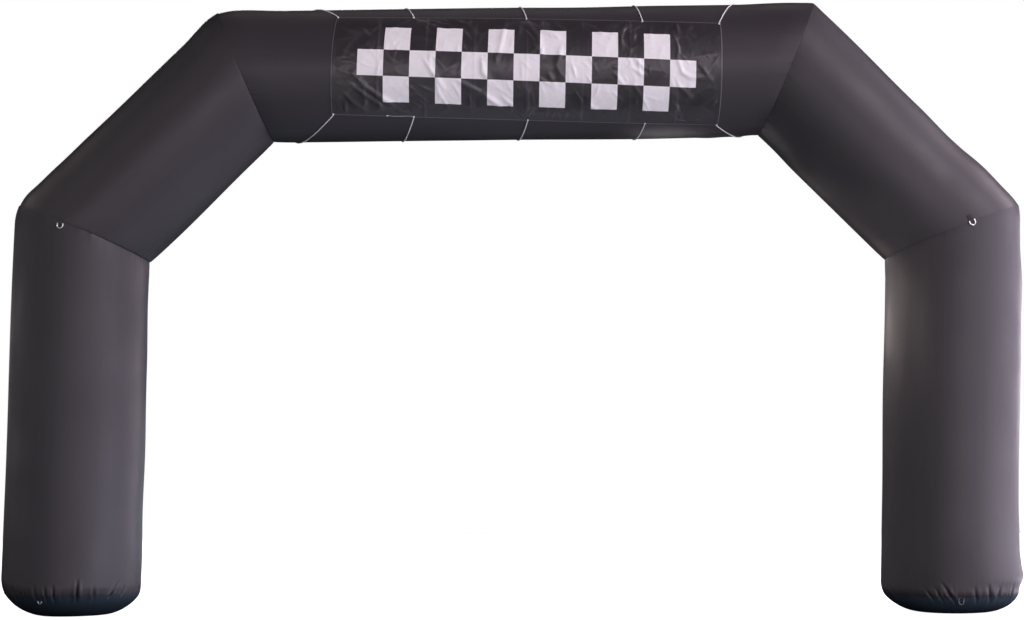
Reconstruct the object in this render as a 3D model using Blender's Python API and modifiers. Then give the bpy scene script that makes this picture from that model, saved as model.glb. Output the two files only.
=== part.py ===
"""An inflatable race arch: a header tube, two slanted shoulders and two legs,
each with a gathered base, a front banner laced round the header with cords,
and steel rings on webbing tabs.

Metres, +Z up. The span runs along X, the front faces -Y, and the origin lies
on the ground midway between the legs. Every angle round a tube is measured
from its front: 0 is the front, 90 the side away from the gateway, 180 the back.
"""

import math

import bmesh
import bpy
from mathutils import Matrix, Vector

# The air tube
TUBE_RADIUS = 0.50
COLUMNS = 48
GAP = 0.0003
FRONT = Vector((0.0, -1.0, 0.0))

# Where the tube's centreline bends (x, z). The arch stands a little uneven.
JOINTS = {
    "foot_left": (-3.309, 0.0),
    "elbow_left": (-3.290, 2.861),
    "shoulder_left": (-2.068, 4.078),
    "shoulder_right": (2.089, 4.115),
    "elbow_right": (3.332, 2.838),
    "foot_right": (3.199, 0.0),
}

# How far the air pressure draws each outer corner in. Every seam is TUBE_RADIUS
# round, and each panel has a radius of its own from CORNER_REACH away, and a
# small belly halfway.
CORNER_CUTS = {
    "elbow_left": 0.022,
    "shoulder_left": 0.012,
    "shoulder_right": 0.004,
    "elbow_right": 0.014,
}
SHOULDER_RADIUS = 0.501
HEADER_RADIUS = 0.503
HEADER_BELLY = 0.002
TUBE_PANELS = (
    # name, from, to, radius, belly
    ("panel_shoulder_left", "elbow_left", "shoulder_left", SHOULDER_RADIUS, 0.001),
    ("panel_header", "shoulder_left", "shoulder_right", HEADER_RADIUS, HEADER_BELLY),
    ("panel_shoulder_right", "shoulder_right", "elbow_right", SHOULDER_RADIUS, 0.000),
)
LEG_RADII = {"left": 0.500, "right": 0.492}
SEAM_DIP = 0.003
CORNER_REACH = 0.14
END_INSETS = (0.0, 0.045, CORNER_REACH)

# The feet: how each side curves in to the flat patch on the ground.
FOOT_SIDES = {
    # foot: side away from the gateway, side towards it
    "left": (
        {"patch_radius": 0.16, "curve_height": 0.29, "bulge": 0.0},
        {"patch_radius": 0.26, "curve_height": 0.26, "bulge": 0.0},
    ),
    "right": (
        {"patch_radius": 0.25, "curve_height": 0.16, "bulge": 0.020},
        {"patch_radius": 0.21, "curve_height": 0.23, "bulge": 0.0},
    ),
}
BASE_SEAM_HEIGHTS = {"left": 0.165, "right": 0.150}
BULGE_HEIGHT = 0.30
BULGE_REACH = 0.16
BASE_RINGS = (0.0, 0.012, 0.045, 0.09, 0.13)
LEG_RINGS = (0.205, 0.26, 0.33, 0.46)

# The gathers along each base seam: the angle, how deep the fold is and how
# far it reaches above the seam.
GATHER_HALF_WIDTH = 0.022
GATHER_BELOW = 0.075
GATHERS = {
    "left": (
        # angle, depth, reach
        (-64, 0.012, 0.12), (-50, 0.022, 0.16), (-32, 0.012, 0.11), (-20, 0.024, 0.18),
        (0, 0.018, 0.12), (7, 0.014, 0.11), (15, 0.014, 0.13), (42, 0.016, 0.12),
        (70, 0.014, 0.11), (98, 0.018, 0.13), (126, 0.014, 0.11), (152, 0.020, 0.15),
        (181, 0.014, 0.12), (207, 0.018, 0.14), (233, 0.014, 0.11), (262, 0.018, 0.13),
    ),
    "right": (
        (-30, 0.018, 0.13), (-23, 0.014, 0.12), (-16, 0.022, 0.17), (2, 0.016, 0.13),
        (20, 0.018, 0.12), (27, 0.012, 0.13), (47, 0.016, 0.12), (72, 0.014, 0.12),
        (101, 0.018, 0.13), (128, 0.014, 0.12), (155, 0.018, 0.15), (184, 0.014, 0.12),
        (211, 0.020, 0.13), (238, 0.014, 0.11), (263, 0.016, 0.14), (290, 0.014, 0.12),
    ),
}

# The banner on the header. "along" is measured on the header's centreline from
# its left joint, and the angles are above (+) and below (-) the front.
BANNER_EDGES = {
    "top_left": {"along": 0.738, "angle": 44.8},
    "top_right": {"along": 3.619, "angle": 29.4},
    "bottom_left": {"along": 0.696, "angle": -49.3},
    "bottom_right": {"along": 3.605, "angle": -67.0},
}
BANNER_THICKNESS = 0.002
BANNER_CLEARANCE = 0.0016
BANNER_TOP_SAG = 1.4
BANNER_SIDE_BOW = 0.030
HEM_WIDTH = 0.028
HEM_SHARE = 1.5
BANNER_CELLS_ALONG = 40
BANNER_CELLS_DOWN = 14
WRINKLES = (
    # start along and down, end along and down (shares), height, half width
    (0.035, 0.56, 0.190, 0.96, 0.016, 0.040),
    (0.030, 0.72, 0.145, 0.95, 0.013, 0.036),
    (0.215, 0.05, 0.290, 0.34, 0.011, 0.036),
    (0.235, 0.38, 0.290, 0.78, 0.012, 0.036),
    (0.330, 0.64, 0.470, 0.95, 0.016, 0.040),
    (0.345, 0.10, 0.320, 0.52, 0.011, 0.036),
    (0.490, 0.60, 0.502, 0.94, 0.012, 0.034),
    (0.515, 0.06, 0.580, 0.40, 0.012, 0.036),
    (0.640, 0.78, 0.740, 0.93, 0.012, 0.036),
    (0.735, 0.42, 0.800, 0.86, 0.014, 0.038),
    (0.790, 0.06, 0.730, 0.30, 0.011, 0.034),
    (0.855, 0.44, 0.925, 0.66, 0.014, 0.038),
)

# The lacing: each cord runs from the banner's top hem, over the header, down
# its back and up to the bottom hem. The slopes say how fast it strays sideways
# where it leaves each hem, in metres along for each metre round.
CORD_RADIUS = 0.004
HEM_TO_CORD = 0.0008
CORD_STEP = 7.5
CORDS = (
    # name, share along the top hem, slope there, share along the bottom hem, slope there
    ("cord_1", 0.004, -0.80, 0.004, -0.88),
    ("cord_2", 0.202, -0.31, 0.211, -0.32),
    ("cord_3", 0.496, -0.17, 0.505, -0.23),
    ("cord_4", 0.797, -0.14, 0.809, -0.20),
    ("cord_5", 0.996, 0.42, 0.996, 0.84),
)

# The steel rings and the webbing tabs that hold them
RINGS = (
    # name, leg, plan angle, height of the bar, turn of the bar, ring
    ("elbow_left", "left", 4.3, 2.852, -8.0, "dee"),
    ("elbow_right", "right", 0.7, 2.846, 25.0, "dee"),
    ("base_left", "left", 11.0, 0.139, 4.0, "peg"),
    ("base_right", "right", -4.2, 0.124, -6.0, "peg"),
)
RING_SHAPES = {
    "dee": {"width": 0.048, "depth": 0.040, "wire": 0.0035, "tab_length": 0.046},
    "peg": {"width": 0.036, "depth": 0.044, "wire": 0.0030, "tab_length": 0.024},
}
TAB_THICKNESS = 0.0018
TAB_PLAY = 0.0005
RING_RESOLUTION = 4
BOW_STEPS = 16
LOOP_STEPS = 20

PAINTS = {
    # slot: colour, roughness, metallic
    "tube_fabric": ((0.052, 0.046, 0.052, 1.0), 0.55, 0.0),
    "base_fabric": ((0.010, 0.016, 0.026, 1.0), 0.45, 0.0),
    "banner_cloth": ((0.030, 0.028, 0.030, 1.0), 0.40, 0.0),
    "lacing_cord": ((0.62, 0.60, 0.61, 1.0), 0.60, 0.0),
    "webbing": ((0.030, 0.027, 0.030, 1.0), 0.75, 0.0),
    "ring_steel": ((0.74, 0.73, 0.74, 1.0), 0.25, 1.0),
}


def joint_point(name):
    """A bend of the centreline as a point in space."""
    x, z = JOINTS[name]
    return Vector((x, 0.0, z))


def away_from_gateway(along):
    """The direction across a tube, in the arch's plane, that points outwards."""
    return Vector((-along.z, 0.0, along.x))


def direction(start, end):
    """The way from one bend of the centreline to another."""
    return (joint_point(end) - joint_point(start)).normalized()


def mitre_normal(name):
    """The normal of the plane in which the two tubes at a bend are sewn."""
    names = list(JOINTS)
    here = names.index(name)
    before = direction(names[here - 1], name)
    after = direction(name, names[here + 1])
    return (before + after).normalized()


def spoke(across, angle):
    """The direction from a tube's centreline to its skin at an angle."""
    return FRONT * math.cos(angle) + across * math.sin(angle)


def corner_pull(name, inset, angle):
    """How far the skin is drawn in, at a distance back from a mitre seam."""
    fade = max(0.0, 1.0 - inset / CORNER_REACH) ** 2
    outer = max(0.0, math.sin(angle)) ** 2
    return fade * (SEAM_DIP + outer * CORNER_CUTS[name])


def mitred_ring(name, into, across, angles, inset, radius):
    """The skin's ring at a distance back from the mitre plane at a bend."""
    normal = mitre_normal(name)
    lean = abs(into.dot(normal))
    back = max(inset, 0.5 * GAP / lean)
    full = TUBE_RADIUS + (radius - TUBE_RADIUS) * inset / CORNER_REACH
    ring = []
    for angle in angles:
        out = spoke(across, angle) * (full - corner_pull(name, inset, angle))
        slide = -out.dot(normal) / into.dot(normal)
        ring.append(joint_point(name) + out + into * (slide + back))
    return ring


def belly_ring(first, second, across, angles, belly):
    """The ring halfway between two rings, swollen by the belly."""
    pairs = zip(first, second, angles)
    return [(a + b) / 2 + spoke(across, angle) * belly for a, b, angle in pairs]


def even_angles():
    return [math.tau * i / COLUMNS for i in range(COLUMNS)]


def new_object(name, mesh, slot):
    """A named object with its own finish, in the arch's collection."""
    colour, roughness, metallic = PAINTS[slot]
    material = bpy.data.materials.new(name + "_finish")
    material.use_nodes = True
    shader = material.node_tree.nodes["Principled BSDF"]
    shader.inputs["Base Color"].default_value = colour
    shader.inputs["Roughness"].default_value = roughness
    shader.inputs["Metallic"].default_value = metallic
    mesh.materials.append(material)
    piece = bpy.data.objects.new(name, mesh)
    bpy.data.collections["inflatable_arch"].objects.link(piece)
    return piece


def loft(name, rings, slot):
    """A closed skin over a row of rings with equal counts of points."""
    bm = bmesh.new()
    loops = [[bm.verts.new(point) for point in ring] for ring in rings]
    for lower, upper in zip(loops, loops[1:]):
        for i in range(len(lower)):
            j = (i + 1) % len(lower)
            bm.faces.new((lower[i], lower[j], upper[j], upper[i]))
    bm.faces.new(loops[0])
    bm.faces.new(loops[-1])
    bmesh.ops.recalc_face_normals(bm, faces=bm.faces)
    mesh = bpy.data.meshes.new(name)
    bm.to_mesh(mesh)
    bm.free()
    mesh.shade_smooth()
    mesh.set_sharp_from_angle(angle=math.radians(35))
    return new_object(name, mesh, slot)


def seam_rings(name, into, across, angles, radius):
    """The rings at a mitre seam and a little way back from it."""
    return [mitred_ring(name, into, across, angles, inset, radius) for inset in END_INSETS]


def make_tube_panel(name, start, end, radius, belly):
    """A tube between two mitre seams."""
    along = direction(start, end)
    across = away_from_gateway(along)
    angles = even_angles()
    near = seam_rings(start, along, across, angles, radius)
    far = seam_rings(end, -along, across, angles, radius)
    middle = belly_ring(near[-1], far[-1], across, angles, belly)
    loft(name, [*near, middle, *reversed(far)], "tube_fabric")


def foot_angles(side):
    """Even columns round a foot, with three close ones at every gather."""
    half = math.degrees(GATHER_HALF_WIDTH / TUBE_RADIUS)
    folds = [angle % 360 for angle, _, _ in GATHERS[side]]
    close = [(fold + step) % 360 for fold in folds for step in (-half, 0.0, half)]
    even = [360 * i / COLUMNS for i in range(COLUMNS)]
    clear = [a for a in even if all(abs((a - f + 180) % 360 - 180) > 1.4 * half for f in folds)]
    return [math.radians(a) for a in sorted(close + clear)]


def foot_radius(side, angle, height):
    """The skin's radius at a foot: a quarter ellipse down to the flat patch."""
    share = 0.5 + 0.5 * math.sin(angle)
    outer, inner = FOOT_SIDES[side]
    blend = {key: share * outer[key] + (1 - share) * inner[key] for key in outer}
    above = min(1.0, height / blend["curve_height"])
    swell = math.sqrt(1.0 - (1.0 - above) ** 2)
    radius = blend["patch_radius"] + (LEG_RADII[side] - blend["patch_radius"]) * swell
    near = max(0.0, 1.0 - abs(height - BULGE_HEIGHT) / BULGE_REACH)
    return radius + blend["bulge"] * math.sin(near * math.pi / 2) ** 2


def lofted_radius(side, angle, height):
    """The radius of a foot's skin between the rings that it is lofted over."""
    levels = (*BASE_RINGS, BASE_SEAM_HEIGHTS[side], *LEG_RINGS)
    if height >= levels[-1]:
        return LEG_RADII[side]
    upper = next(i for i, level in enumerate(levels) if level > height)
    low, high = levels[upper - 1], levels[upper]
    share = (height - low) / (high - low)
    return (1 - share) * foot_radius(side, angle, low) + share * foot_radius(side, angle, high)


def gather_depth(side, angle, height):
    """How deep the gathers fold the skin in at a place on a foot."""
    depth = 0.0
    above = height - BASE_SEAM_HEIGHTS[side]
    for fold, fold_depth, reach in GATHERS[side]:
        apart = abs((math.degrees(angle) - fold + 180) % 360 - 180)
        across = max(0.0, 1.0 - math.radians(apart) * TUBE_RADIUS / GATHER_HALF_WIDTH)
        fade = max(0.0, 1.0 - (above / reach if above > 0 else -above / GATHER_BELOW))
        depth += fold_depth * across * fade
    return depth


def foot_ring(side, height, angles):
    """A level ring round a foot."""
    start = joint_point("foot_" + side)
    top = joint_point("elbow_" + side)
    centre = start + (top - start) * (height / top.z)
    across = Vector((-1.0 if side == "left" else 1.0, 0.0, 0.0))
    ring = []
    for angle in angles:
        radius = foot_radius(side, angle, height) - gather_depth(side, angle, height)
        ring.append(centre + spoke(across, angle) * radius)
    return ring


def make_leg(side):
    """A leg's panel, from its gathered base seam to the elbow's mitre."""
    angles = foot_angles(side)
    elbow = "elbow_" + side
    down = direction(elbow, "foot_" + side)
    across = away_from_gateway(-down if side == "left" else down)
    seam = BASE_SEAM_HEIGHTS[side]
    low = [foot_ring(side, height, angles) for height in (seam + GAP / 2, *LEG_RINGS)]
    high = seam_rings(elbow, down, across, angles, LEG_RADII[side])
    loft("leg_" + side, [*low, *reversed(high)], "tube_fabric")


def make_base(side):
    """The dark bottom panel, a shallow bowl with a flat patch on the ground."""
    angles = foot_angles(side)
    seam = BASE_SEAM_HEIGHTS[side]
    rings = [foot_ring(side, height, angles) for height in (*BASE_RINGS, seam - GAP / 2)]
    loft("base_" + side, rings, "base_fabric")


def header_point(along, degrees, radius):
    """A point at a distance from the header's centreline."""
    start = joint_point("shoulder_left")
    forward = direction("shoulder_left", "shoulder_right")
    out = spoke(away_from_gateway(forward), math.radians(degrees))
    return start + forward * along + out * radius


def header_radius(along, degrees):
    """The header's radius at a place on it, its belly included."""
    angles = [math.radians(degrees)]
    start = joint_point("shoulder_left")
    forward = direction("shoulder_left", "shoulder_right")
    across = away_from_gateway(forward)
    near = seam_rings("shoulder_left", forward, across, angles, HEADER_RADIUS)[-1][0]
    far = seam_rings("shoulder_right", -forward, across, angles, HEADER_RADIUS)[-1][0]
    middle = ((near + far) / 2 - start).dot(forward)
    half = (far - near).dot(forward) / 2
    return HEADER_RADIUS + HEADER_BELLY * (1.0 - abs(along - middle) / half)


def banner_place(u, v):
    """Where a share along and down the banner lies on the header."""
    corner = BANNER_EDGES
    names = ("along", "angle")
    top = {k: (1 - u) * corner["top_left"][k] + u * corner["top_right"][k] for k in names}
    low = {k: (1 - u) * corner["bottom_left"][k] + u * corner["bottom_right"][k] for k in names}
    along = (1 - v) * top["along"] + v * low["along"]
    angle = (1 - v) * top["angle"] + v * low["angle"]
    sag = BANNER_TOP_SAG * math.sin(math.pi * u) * (1 - v)
    bow = BANNER_SIDE_BOW * math.sin(math.pi * v) * (2 * u - 1)
    return along + bow, angle + sag


def banner_size():
    """The banner's length along the header and its width round it."""
    length = BANNER_EDGES["top_right"]["along"] - BANNER_EDGES["top_left"]["along"]
    sweep = BANNER_EDGES["top_left"]["angle"] - BANNER_EDGES["bottom_left"]["angle"]
    return length, math.radians(sweep) * HEADER_RADIUS


def wrinkle_height(u, v):
    """How far the banner's wrinkles lift it off the header."""
    length, width = banner_size()
    here = Vector((u * length, v * width))
    lift = 0.0
    for u0, v0, u1, v1, height, half_width in WRINKLES:
        start = Vector((u0 * length, v0 * width))
        run = Vector((u1 * length, v1 * width)) - start
        share = min(1.0, max(0.0, (here - start).dot(run) / run.length_squared))
        near = (here - start - run * share).length / half_width
        taper = 0.45 + 0.55 * math.sin(math.pi * share)
        lift = max(lift, height * taper * max(0.0, 1.0 - near * near))
    return lift


def shares(cells, hem):
    """Even shares with one more at each hem's stitching."""
    return [0.0, hem, *[i / cells for i in range(1, cells)], 1.0 - hem, 1.0]


def make_banner():
    """The banner: one sheet over the header's front, thicker along its hem."""
    length, width = banner_size()
    across = shares(BANNER_CELLS_ALONG, HEM_WIDTH / length)
    down = shares(BANNER_CELLS_DOWN, HEM_WIDTH / width)
    bm = bmesh.new()
    rows = []
    for v in down:
        row = []
        for u in across:
            along, angle = banner_place(u, v)
            radius = header_radius(along, angle) + BANNER_CLEARANCE + wrinkle_height(u, v)
            row.append(bm.verts.new(header_point(along, angle, radius)))
        rows.append(row)
    for upper, lower in zip(rows, rows[1:]):
        for i in range(len(upper) - 1):
            bm.faces.new((upper[i], lower[i], lower[i + 1], upper[i + 1]))
    mesh = bpy.data.meshes.new("banner")
    bm.to_mesh(mesh)
    bm.free()
    banner = new_object("banner", mesh, "banner_cloth")
    hem = banner.vertex_groups.new(name="hem")
    count = len(across)
    rim = [i for i in range(len(mesh.vertices))
           if i % count in (0, 1, count - 2, count - 1)
           or i // count in (0, 1, len(down) - 2, len(down) - 1)]
    hem.add(rim, 1.0, "REPLACE")
    shell = banner.modifiers.new("thickness", "SOLIDIFY")
    shell.thickness = BANNER_THICKNESS * HEM_SHARE
    shell.offset = 1.0
    shell.vertex_group = "hem"
    shell.thickness_vertex_group = 1.0 / HEM_SHARE


def hermite(start, start_slope, end, end_slope, t):
    """A smooth value from start to end with the given slopes at its ends."""
    return ((2 * t**3 - 3 * t**2 + 1) * start + (t**3 - 2 * t**2 + t) * start_slope
            + (3 * t**2 - 2 * t**3) * end + (t**3 - t**2) * end_slope)


def hem_clearance(slope):
    """The angle from a hem to the end of a cord that leaves it at a slope."""
    slant = CORD_RADIUS * abs(slope) / math.hypot(1.0, slope)
    return math.degrees((HEM_TO_CORD + slant) / TUBE_RADIUS)


def cord_route(top_share, top_slope, bottom_share, bottom_slope):
    """A cord's points from the top hem round the back to the bottom hem."""
    top_along, top_angle = banner_place(top_share, 0.0)
    low_along, low_angle = banner_place(bottom_share, 1.0)
    first = top_angle + hem_clearance(top_slope)
    last = low_angle + 360.0 - hem_clearance(bottom_slope)
    length = math.radians(last - first) * TUBE_RADIUS
    step = math.ceil(first / CORD_STEP + 0.2)
    inner = [CORD_STEP * i for i in range(step, math.floor(last / CORD_STEP - 0.2) + 1)]
    points = []
    for angle in (first, *inner, last):
        share = (angle - first) / (last - first)
        slopes = top_slope * length, -bottom_slope * length
        along = hermite(top_along, slopes[0], low_along, slopes[1], share)
        radius = header_radius(along, angle) + CORD_RADIUS + GAP
        points.append(header_point(along, angle, radius))
    return points


def new_curve(name, points, radius, closed, slot, resolution=2):
    """A round wire through points."""
    curve = bpy.data.curves.new(name, "CURVE")
    curve.dimensions = "3D"
    curve.bevel_depth = radius
    curve.bevel_resolution = resolution
    curve.use_fill_caps = not closed
    line = curve.splines.new("POLY")
    line.points.add(len(points) - 1)
    for target, point in zip(line.points, points):
        target.co = (*point, 1.0)
    line.use_cyclic_u = closed
    return new_object(name, curve, slot)


def front_skin(side, x, z):
    """The y of the skin at the front of a leg, its foot or the shoulder above it."""
    elbow = joint_point("elbow_" + side)
    here = Vector((x, 0.0, z))
    normal = mitre_normal("elbow_" + side) * (1.0 if side == "left" else -1.0)
    beyond = (here - elbow).dot(normal)
    far = joint_point(("shoulder_" if beyond > 0 else "foot_") + side)
    axis = (far - elbow).normalized()
    aside = (here - elbow) - axis * (here - elbow).dot(axis)
    across = Vector((-1.0 if side == "left" else 1.0, 0.0, 0.0))
    angle = math.asin(aside.dot(across) / TUBE_RADIUS)
    inset = abs(beyond / axis.dot(normal))
    panel = SHOULDER_RADIUS if beyond > 0 else lofted_radius(side, angle, z)
    seam = max(0.0, 1.0 - inset / CORNER_REACH)
    radius = seam * TUBE_RADIUS + (1.0 - seam) * panel
    radius -= corner_pull("elbow_" + side, inset, angle)
    return -math.sqrt(radius**2 - aside.length_squared)


def proud(side, frame, across, up):
    """How far the skin stands in front of a frame's plane at a place on it."""
    place = frame @ Vector((across, 0.0, up))
    skin = Vector((place.x, front_skin(side, place.x, place.z), place.z))
    return (skin - place).dot(frame.col[1].to_3d())


def ring_frame(side, plan_angle, height, turn, shape):
    """The seat of a ring: x along its bar, y out of the skin, z up its tab."""
    start = joint_point("foot_" + side)
    top = joint_point("elbow_" + side)
    centre = start + (top - start) * (height / top.z)
    outward = -1.0 if side == "left" else 1.0
    x = centre.x + outward * TUBE_RADIUS * math.sin(math.radians(plan_angle))
    above = height + shape["tab_length"]
    low = Vector((x, front_skin(side, x, height), height))
    high = Vector((x, front_skin(side, x, above), above))
    up = (high - low).normalized()
    level = Vector((x - centre.x, low.y, 0.0)).cross(Vector((0.0, 0.0, 1.0)))
    bar = (level - up * level.dot(up)).normalized()
    out = up.cross(bar)
    frame = Matrix((bar, out, up)).transposed().to_4x4()
    frame.translation = low
    frame = frame @ Matrix.Rotation(math.radians(turn), 4, "Y")
    half = shape["width"] / 2
    footprint = [(across, rise) for across in (-half, 0.0, half)
                 for rise in (-half / 2, 0.0, shape["tab_length"] / 2, shape["tab_length"])]
    seat = max(proud(side, frame, across, rise) for across, rise in footprint)
    frame.translation += out * seat
    return frame


def bar_height(shape):
    """How far a ring's bar stands off the skin, with the tab behind it."""
    return GAP + TAB_THICKNESS + TAB_PLAY + shape["wire"]


def make_ring(name, side, frame, shape):
    """A bent steel ring: a straight bar, and a round bow that hangs on the skin."""
    half = shape["width"] / 2
    stand_off = bar_height(shape)
    straight = shape["depth"] - half
    rest = proud(side, frame, 0.0, -shape["depth"]) + GAP + shape["wire"]
    plumb = frame[2][1] / frame[2][2]
    lean = min(plumb, (stand_off - rest) / shape["depth"])
    outline = [(half, 0.0), (half, -straight)]
    for i in range(1, BOW_STEPS):
        a = math.pi * i / BOW_STEPS
        outline.append((half * math.cos(a), -straight - half * math.sin(a)))
    outline += [(-half, -straight), (-half, 0.0)]
    points = [frame @ Vector((x, stand_off + lean * z, z)) for x, z in outline]
    new_curve(name, points, shape["wire"], True, "ring_steel", RING_RESOLUTION)


def make_tab(name, frame, shape):
    """A webbing strip folded round a ring's bar, its tail sewn flat above it."""
    bore = shape["wire"] + TAB_PLAY
    outer = bore + TAB_THICKNESS
    front = 2 * TAB_THICKNESS - outer
    meeting = math.acos(front / outer)
    sweep = meeting + math.pi
    outline = [(-outer, shape["tab_length"]), (front, shape["tab_length"])]
    for i in range(LOOP_STEPS + 1):
        a = meeting - sweep * i / LOOP_STEPS
        outline.append((outer * math.cos(a), outer * math.sin(a)))
    hole = []
    for i in range(LOOP_STEPS):
        a = math.tau * i / LOOP_STEPS
        hole.append((bore * math.cos(a), bore * math.sin(a)))
    curve = bpy.data.curves.new(name, "CURVE")
    curve.dimensions = "2D"
    curve.fill_mode = "BOTH"
    curve.extrude = shape["width"] / 2 - shape["wire"] - 0.002
    for loop in (outline, hole):
        line = curve.splines.new("POLY")
        line.points.add(len(loop) - 1)
        for target, (y, z) in zip(line.points, loop):
            target.co = (y, z, 0.0, 1.0)
        line.use_cyclic_u = True
    tab = new_object(name, curve, "webbing")
    lay = Matrix(((0, 0, 1, 0), (1, 0, 0, bar_height(shape)), (0, 1, 0, 0), (0, 0, 0, 1)))
    tab.matrix_world = frame @ lay


def build():
    for piece in list(bpy.data.objects):
        bpy.data.objects.remove(piece)
    collection = bpy.data.collections.new("inflatable_arch")
    bpy.context.scene.collection.children.link(collection)
    for name, start, end, radius, belly in TUBE_PANELS:
        make_tube_panel(name, start, end, radius, belly)
    for side in FOOT_SIDES:
        make_leg(side)
        make_base(side)
    make_banner()
    for name, top_share, top_slope, bottom_share, bottom_slope in CORDS:
        route = cord_route(top_share, top_slope, bottom_share, bottom_slope)
        new_curve(name, route, CORD_RADIUS, False, "lacing_cord")
    for name, side, plan_angle, height, turn, ring in RINGS:
        shape = RING_SHAPES[ring]
        frame = ring_frame(side, plan_angle, height, turn, shape)
        make_ring("ring_" + name, side, frame, shape)
        make_tab("tab_" + name, frame, shape)


build()
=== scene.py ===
# Inflatable arch: tube skins, gathered base panels, a laced banner, steel rings on webbing tabs.
# Metres, +Z up, front towards -Y. Angles round a tube: 0 front, +90 away from the gateway, 180 back.

import bmesh
import bpy
import numpy as np
from mathutils import Matrix


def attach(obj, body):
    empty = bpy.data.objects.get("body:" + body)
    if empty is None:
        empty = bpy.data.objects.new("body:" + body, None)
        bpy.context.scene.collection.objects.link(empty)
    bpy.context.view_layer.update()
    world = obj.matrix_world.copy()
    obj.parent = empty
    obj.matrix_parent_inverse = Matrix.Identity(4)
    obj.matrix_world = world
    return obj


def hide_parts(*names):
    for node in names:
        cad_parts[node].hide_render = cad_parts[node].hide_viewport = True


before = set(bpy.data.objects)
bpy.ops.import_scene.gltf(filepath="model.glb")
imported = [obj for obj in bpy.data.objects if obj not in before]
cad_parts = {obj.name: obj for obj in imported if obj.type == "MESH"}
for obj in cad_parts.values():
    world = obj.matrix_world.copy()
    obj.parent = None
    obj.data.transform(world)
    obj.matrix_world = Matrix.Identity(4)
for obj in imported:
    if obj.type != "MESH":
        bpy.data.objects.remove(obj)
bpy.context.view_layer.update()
scene = bpy.context.scene
print("frame in:", len(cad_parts), "nodes")

cameraLook = {
    "position": (-0.0049, -12.0, 0.8),
    "yaw": -0.0017,
    "pitch": 0.1212,
    "roll": -0.0041,
    "focalPixels": 1594.23,
    "imageWidth": 1024,
    "sensorWidth": 36.0,
    "clipEnd": 200.0,
}


def newObject(name, data):
    thing = bpy.data.objects.new(name, data)
    scene.collection.objects.link(thing)
    return thing


def turned(thing, axes, position):
    # The directions of the thing's own x, y and z, and its place
    place = np.eye(4)
    place[:3, :3] = np.column_stack(axes)
    place[:3, 3] = position
    thing.matrix_world = Matrix(place.tolist())


def addCamera(look):
    # Lens = focal length in pixels x sensor width / image width; axes from yaw and pitch, then roll
    yaw, pitch, roll = look["yaw"], look["pitch"], look["roll"]
    forward = np.array([np.sin(yaw) * np.cos(pitch), np.cos(yaw) * np.cos(pitch), np.sin(pitch)])
    level = np.array([np.cos(yaw), -np.sin(yaw), 0.0])
    rise = np.cross(level, forward)
    right = np.cos(roll) * level + np.sin(roll) * rise
    up = np.cos(roll) * rise - np.sin(roll) * level
    lens = bpy.data.cameras.new("frontCamera")
    lens.sensor_width = look["sensorWidth"]
    lens.lens = look["focalPixels"] * look["sensorWidth"] / look["imageWidth"]
    lens.clip_end = look["clipEnd"]
    scene.camera = newObject("frontCamera", lens)
    turned(scene.camera, (right, up, -forward), look["position"])


addCamera(cameraLook)
print("camera placed")

bends = {
    # where the tube's centreline turns: x, z
    "footLeft": (-3.309, 0.0),
    "elbowLeft": (-3.290, 2.861),
    "shoulderLeft": (-2.068, 4.078),
    "shoulderRight": (2.089, 4.115),
    "elbowRight": (3.332, 2.838),
    "footRight": (3.199, 0.0),
}
tube = {
    "radius": 0.500,
    "gap": 0.0003,
    "cornerReach": 0.14,      # how far from a seam the skin is drawn in
    "seamDip": 0.003,
    "earReach": 0.075,
    "creaseReach": 0.007,
    "creaseOutside": 0.18,    # share of the crease that is left outside the bend
    "puckers": {"count": 22, "waves": (22, 84), "reach": (0.018, 0.060),
                "outside": 0.08, "spread": 2.4, "seed": 11},
    "stitchReach": 0.006,     # puckers are held down this close to the seam
    "ripple": {"height": 0.0004, "waves": (2, 9), "length": 1.1},
}
seams = {
    # how far the outer corner is cut back or stands out as an ear, and how deep the sewing shows
    "elbowLeft": {"cut": 0.024, "ear": 0.0, "crease": 0.0034, "pucker": 0.0014},
    "shoulderLeft": {"cut": 0.010, "ear": 0.0, "crease": 0.0024, "pucker": 0.0017},
    "shoulderRight": {"cut": 0.004, "ear": 0.011, "crease": 0.0010, "pucker": 0.0017},
    "elbowRight": {"cut": 0.014, "ear": 0.0, "crease": 0.0008, "pucker": 0.0006},
}
front = np.array([0.0, -1.0, 0.0])


def bend(name):
    x, z = bends[name]
    return np.array([x, 0.0, z])


def unit(vector):
    return vector / np.linalg.norm(vector, axis=-1, keepdims=True)


def along(first, second):
    return unit(bend(second) - bend(first))


def outwards(axis):
    return np.array([-axis[2], 0.0, axis[0]])     # away from the gateway, in the arch's plane


def seamNormal(name, axis):
    # The mitre plane's normal halves the turn between the two tubes; it is taken along the axis
    names = list(bends)
    here = names.index(name)
    normal = unit(along(names[here - 1], name) + along(name, names[here + 1]))
    return normal * np.sign(axis @ normal)


def spokes(across, angles):
    # front x cos(angle) + across x sin(angle)
    return np.cos(angles)[..., None] * front + np.sin(angles)[..., None] * across


def smooth(share):
    share = np.clip(share, 0.0, 1.0)
    return share * share * (3.0 - 2.0 * share)


def atLeast(low, share):
    return low + (1.0 - low) * share     # from low to 1


def hump(x, wide):
    return np.exp(-(x / wide) ** 2)


def quarterRound(x):
    return np.sqrt(1.0 - (1.0 - np.clip(x, 0.0, 1.0)) ** 2)


def evenAngles(count):
    return np.linspace(0.0, 2.0 * np.pi, count, endpoint=False)


def runLength(path):
    # Distance along a row of points
    return np.concatenate([[0.0], np.cumsum(np.linalg.norm(np.diff(path, axis=0), axis=1))])


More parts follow.
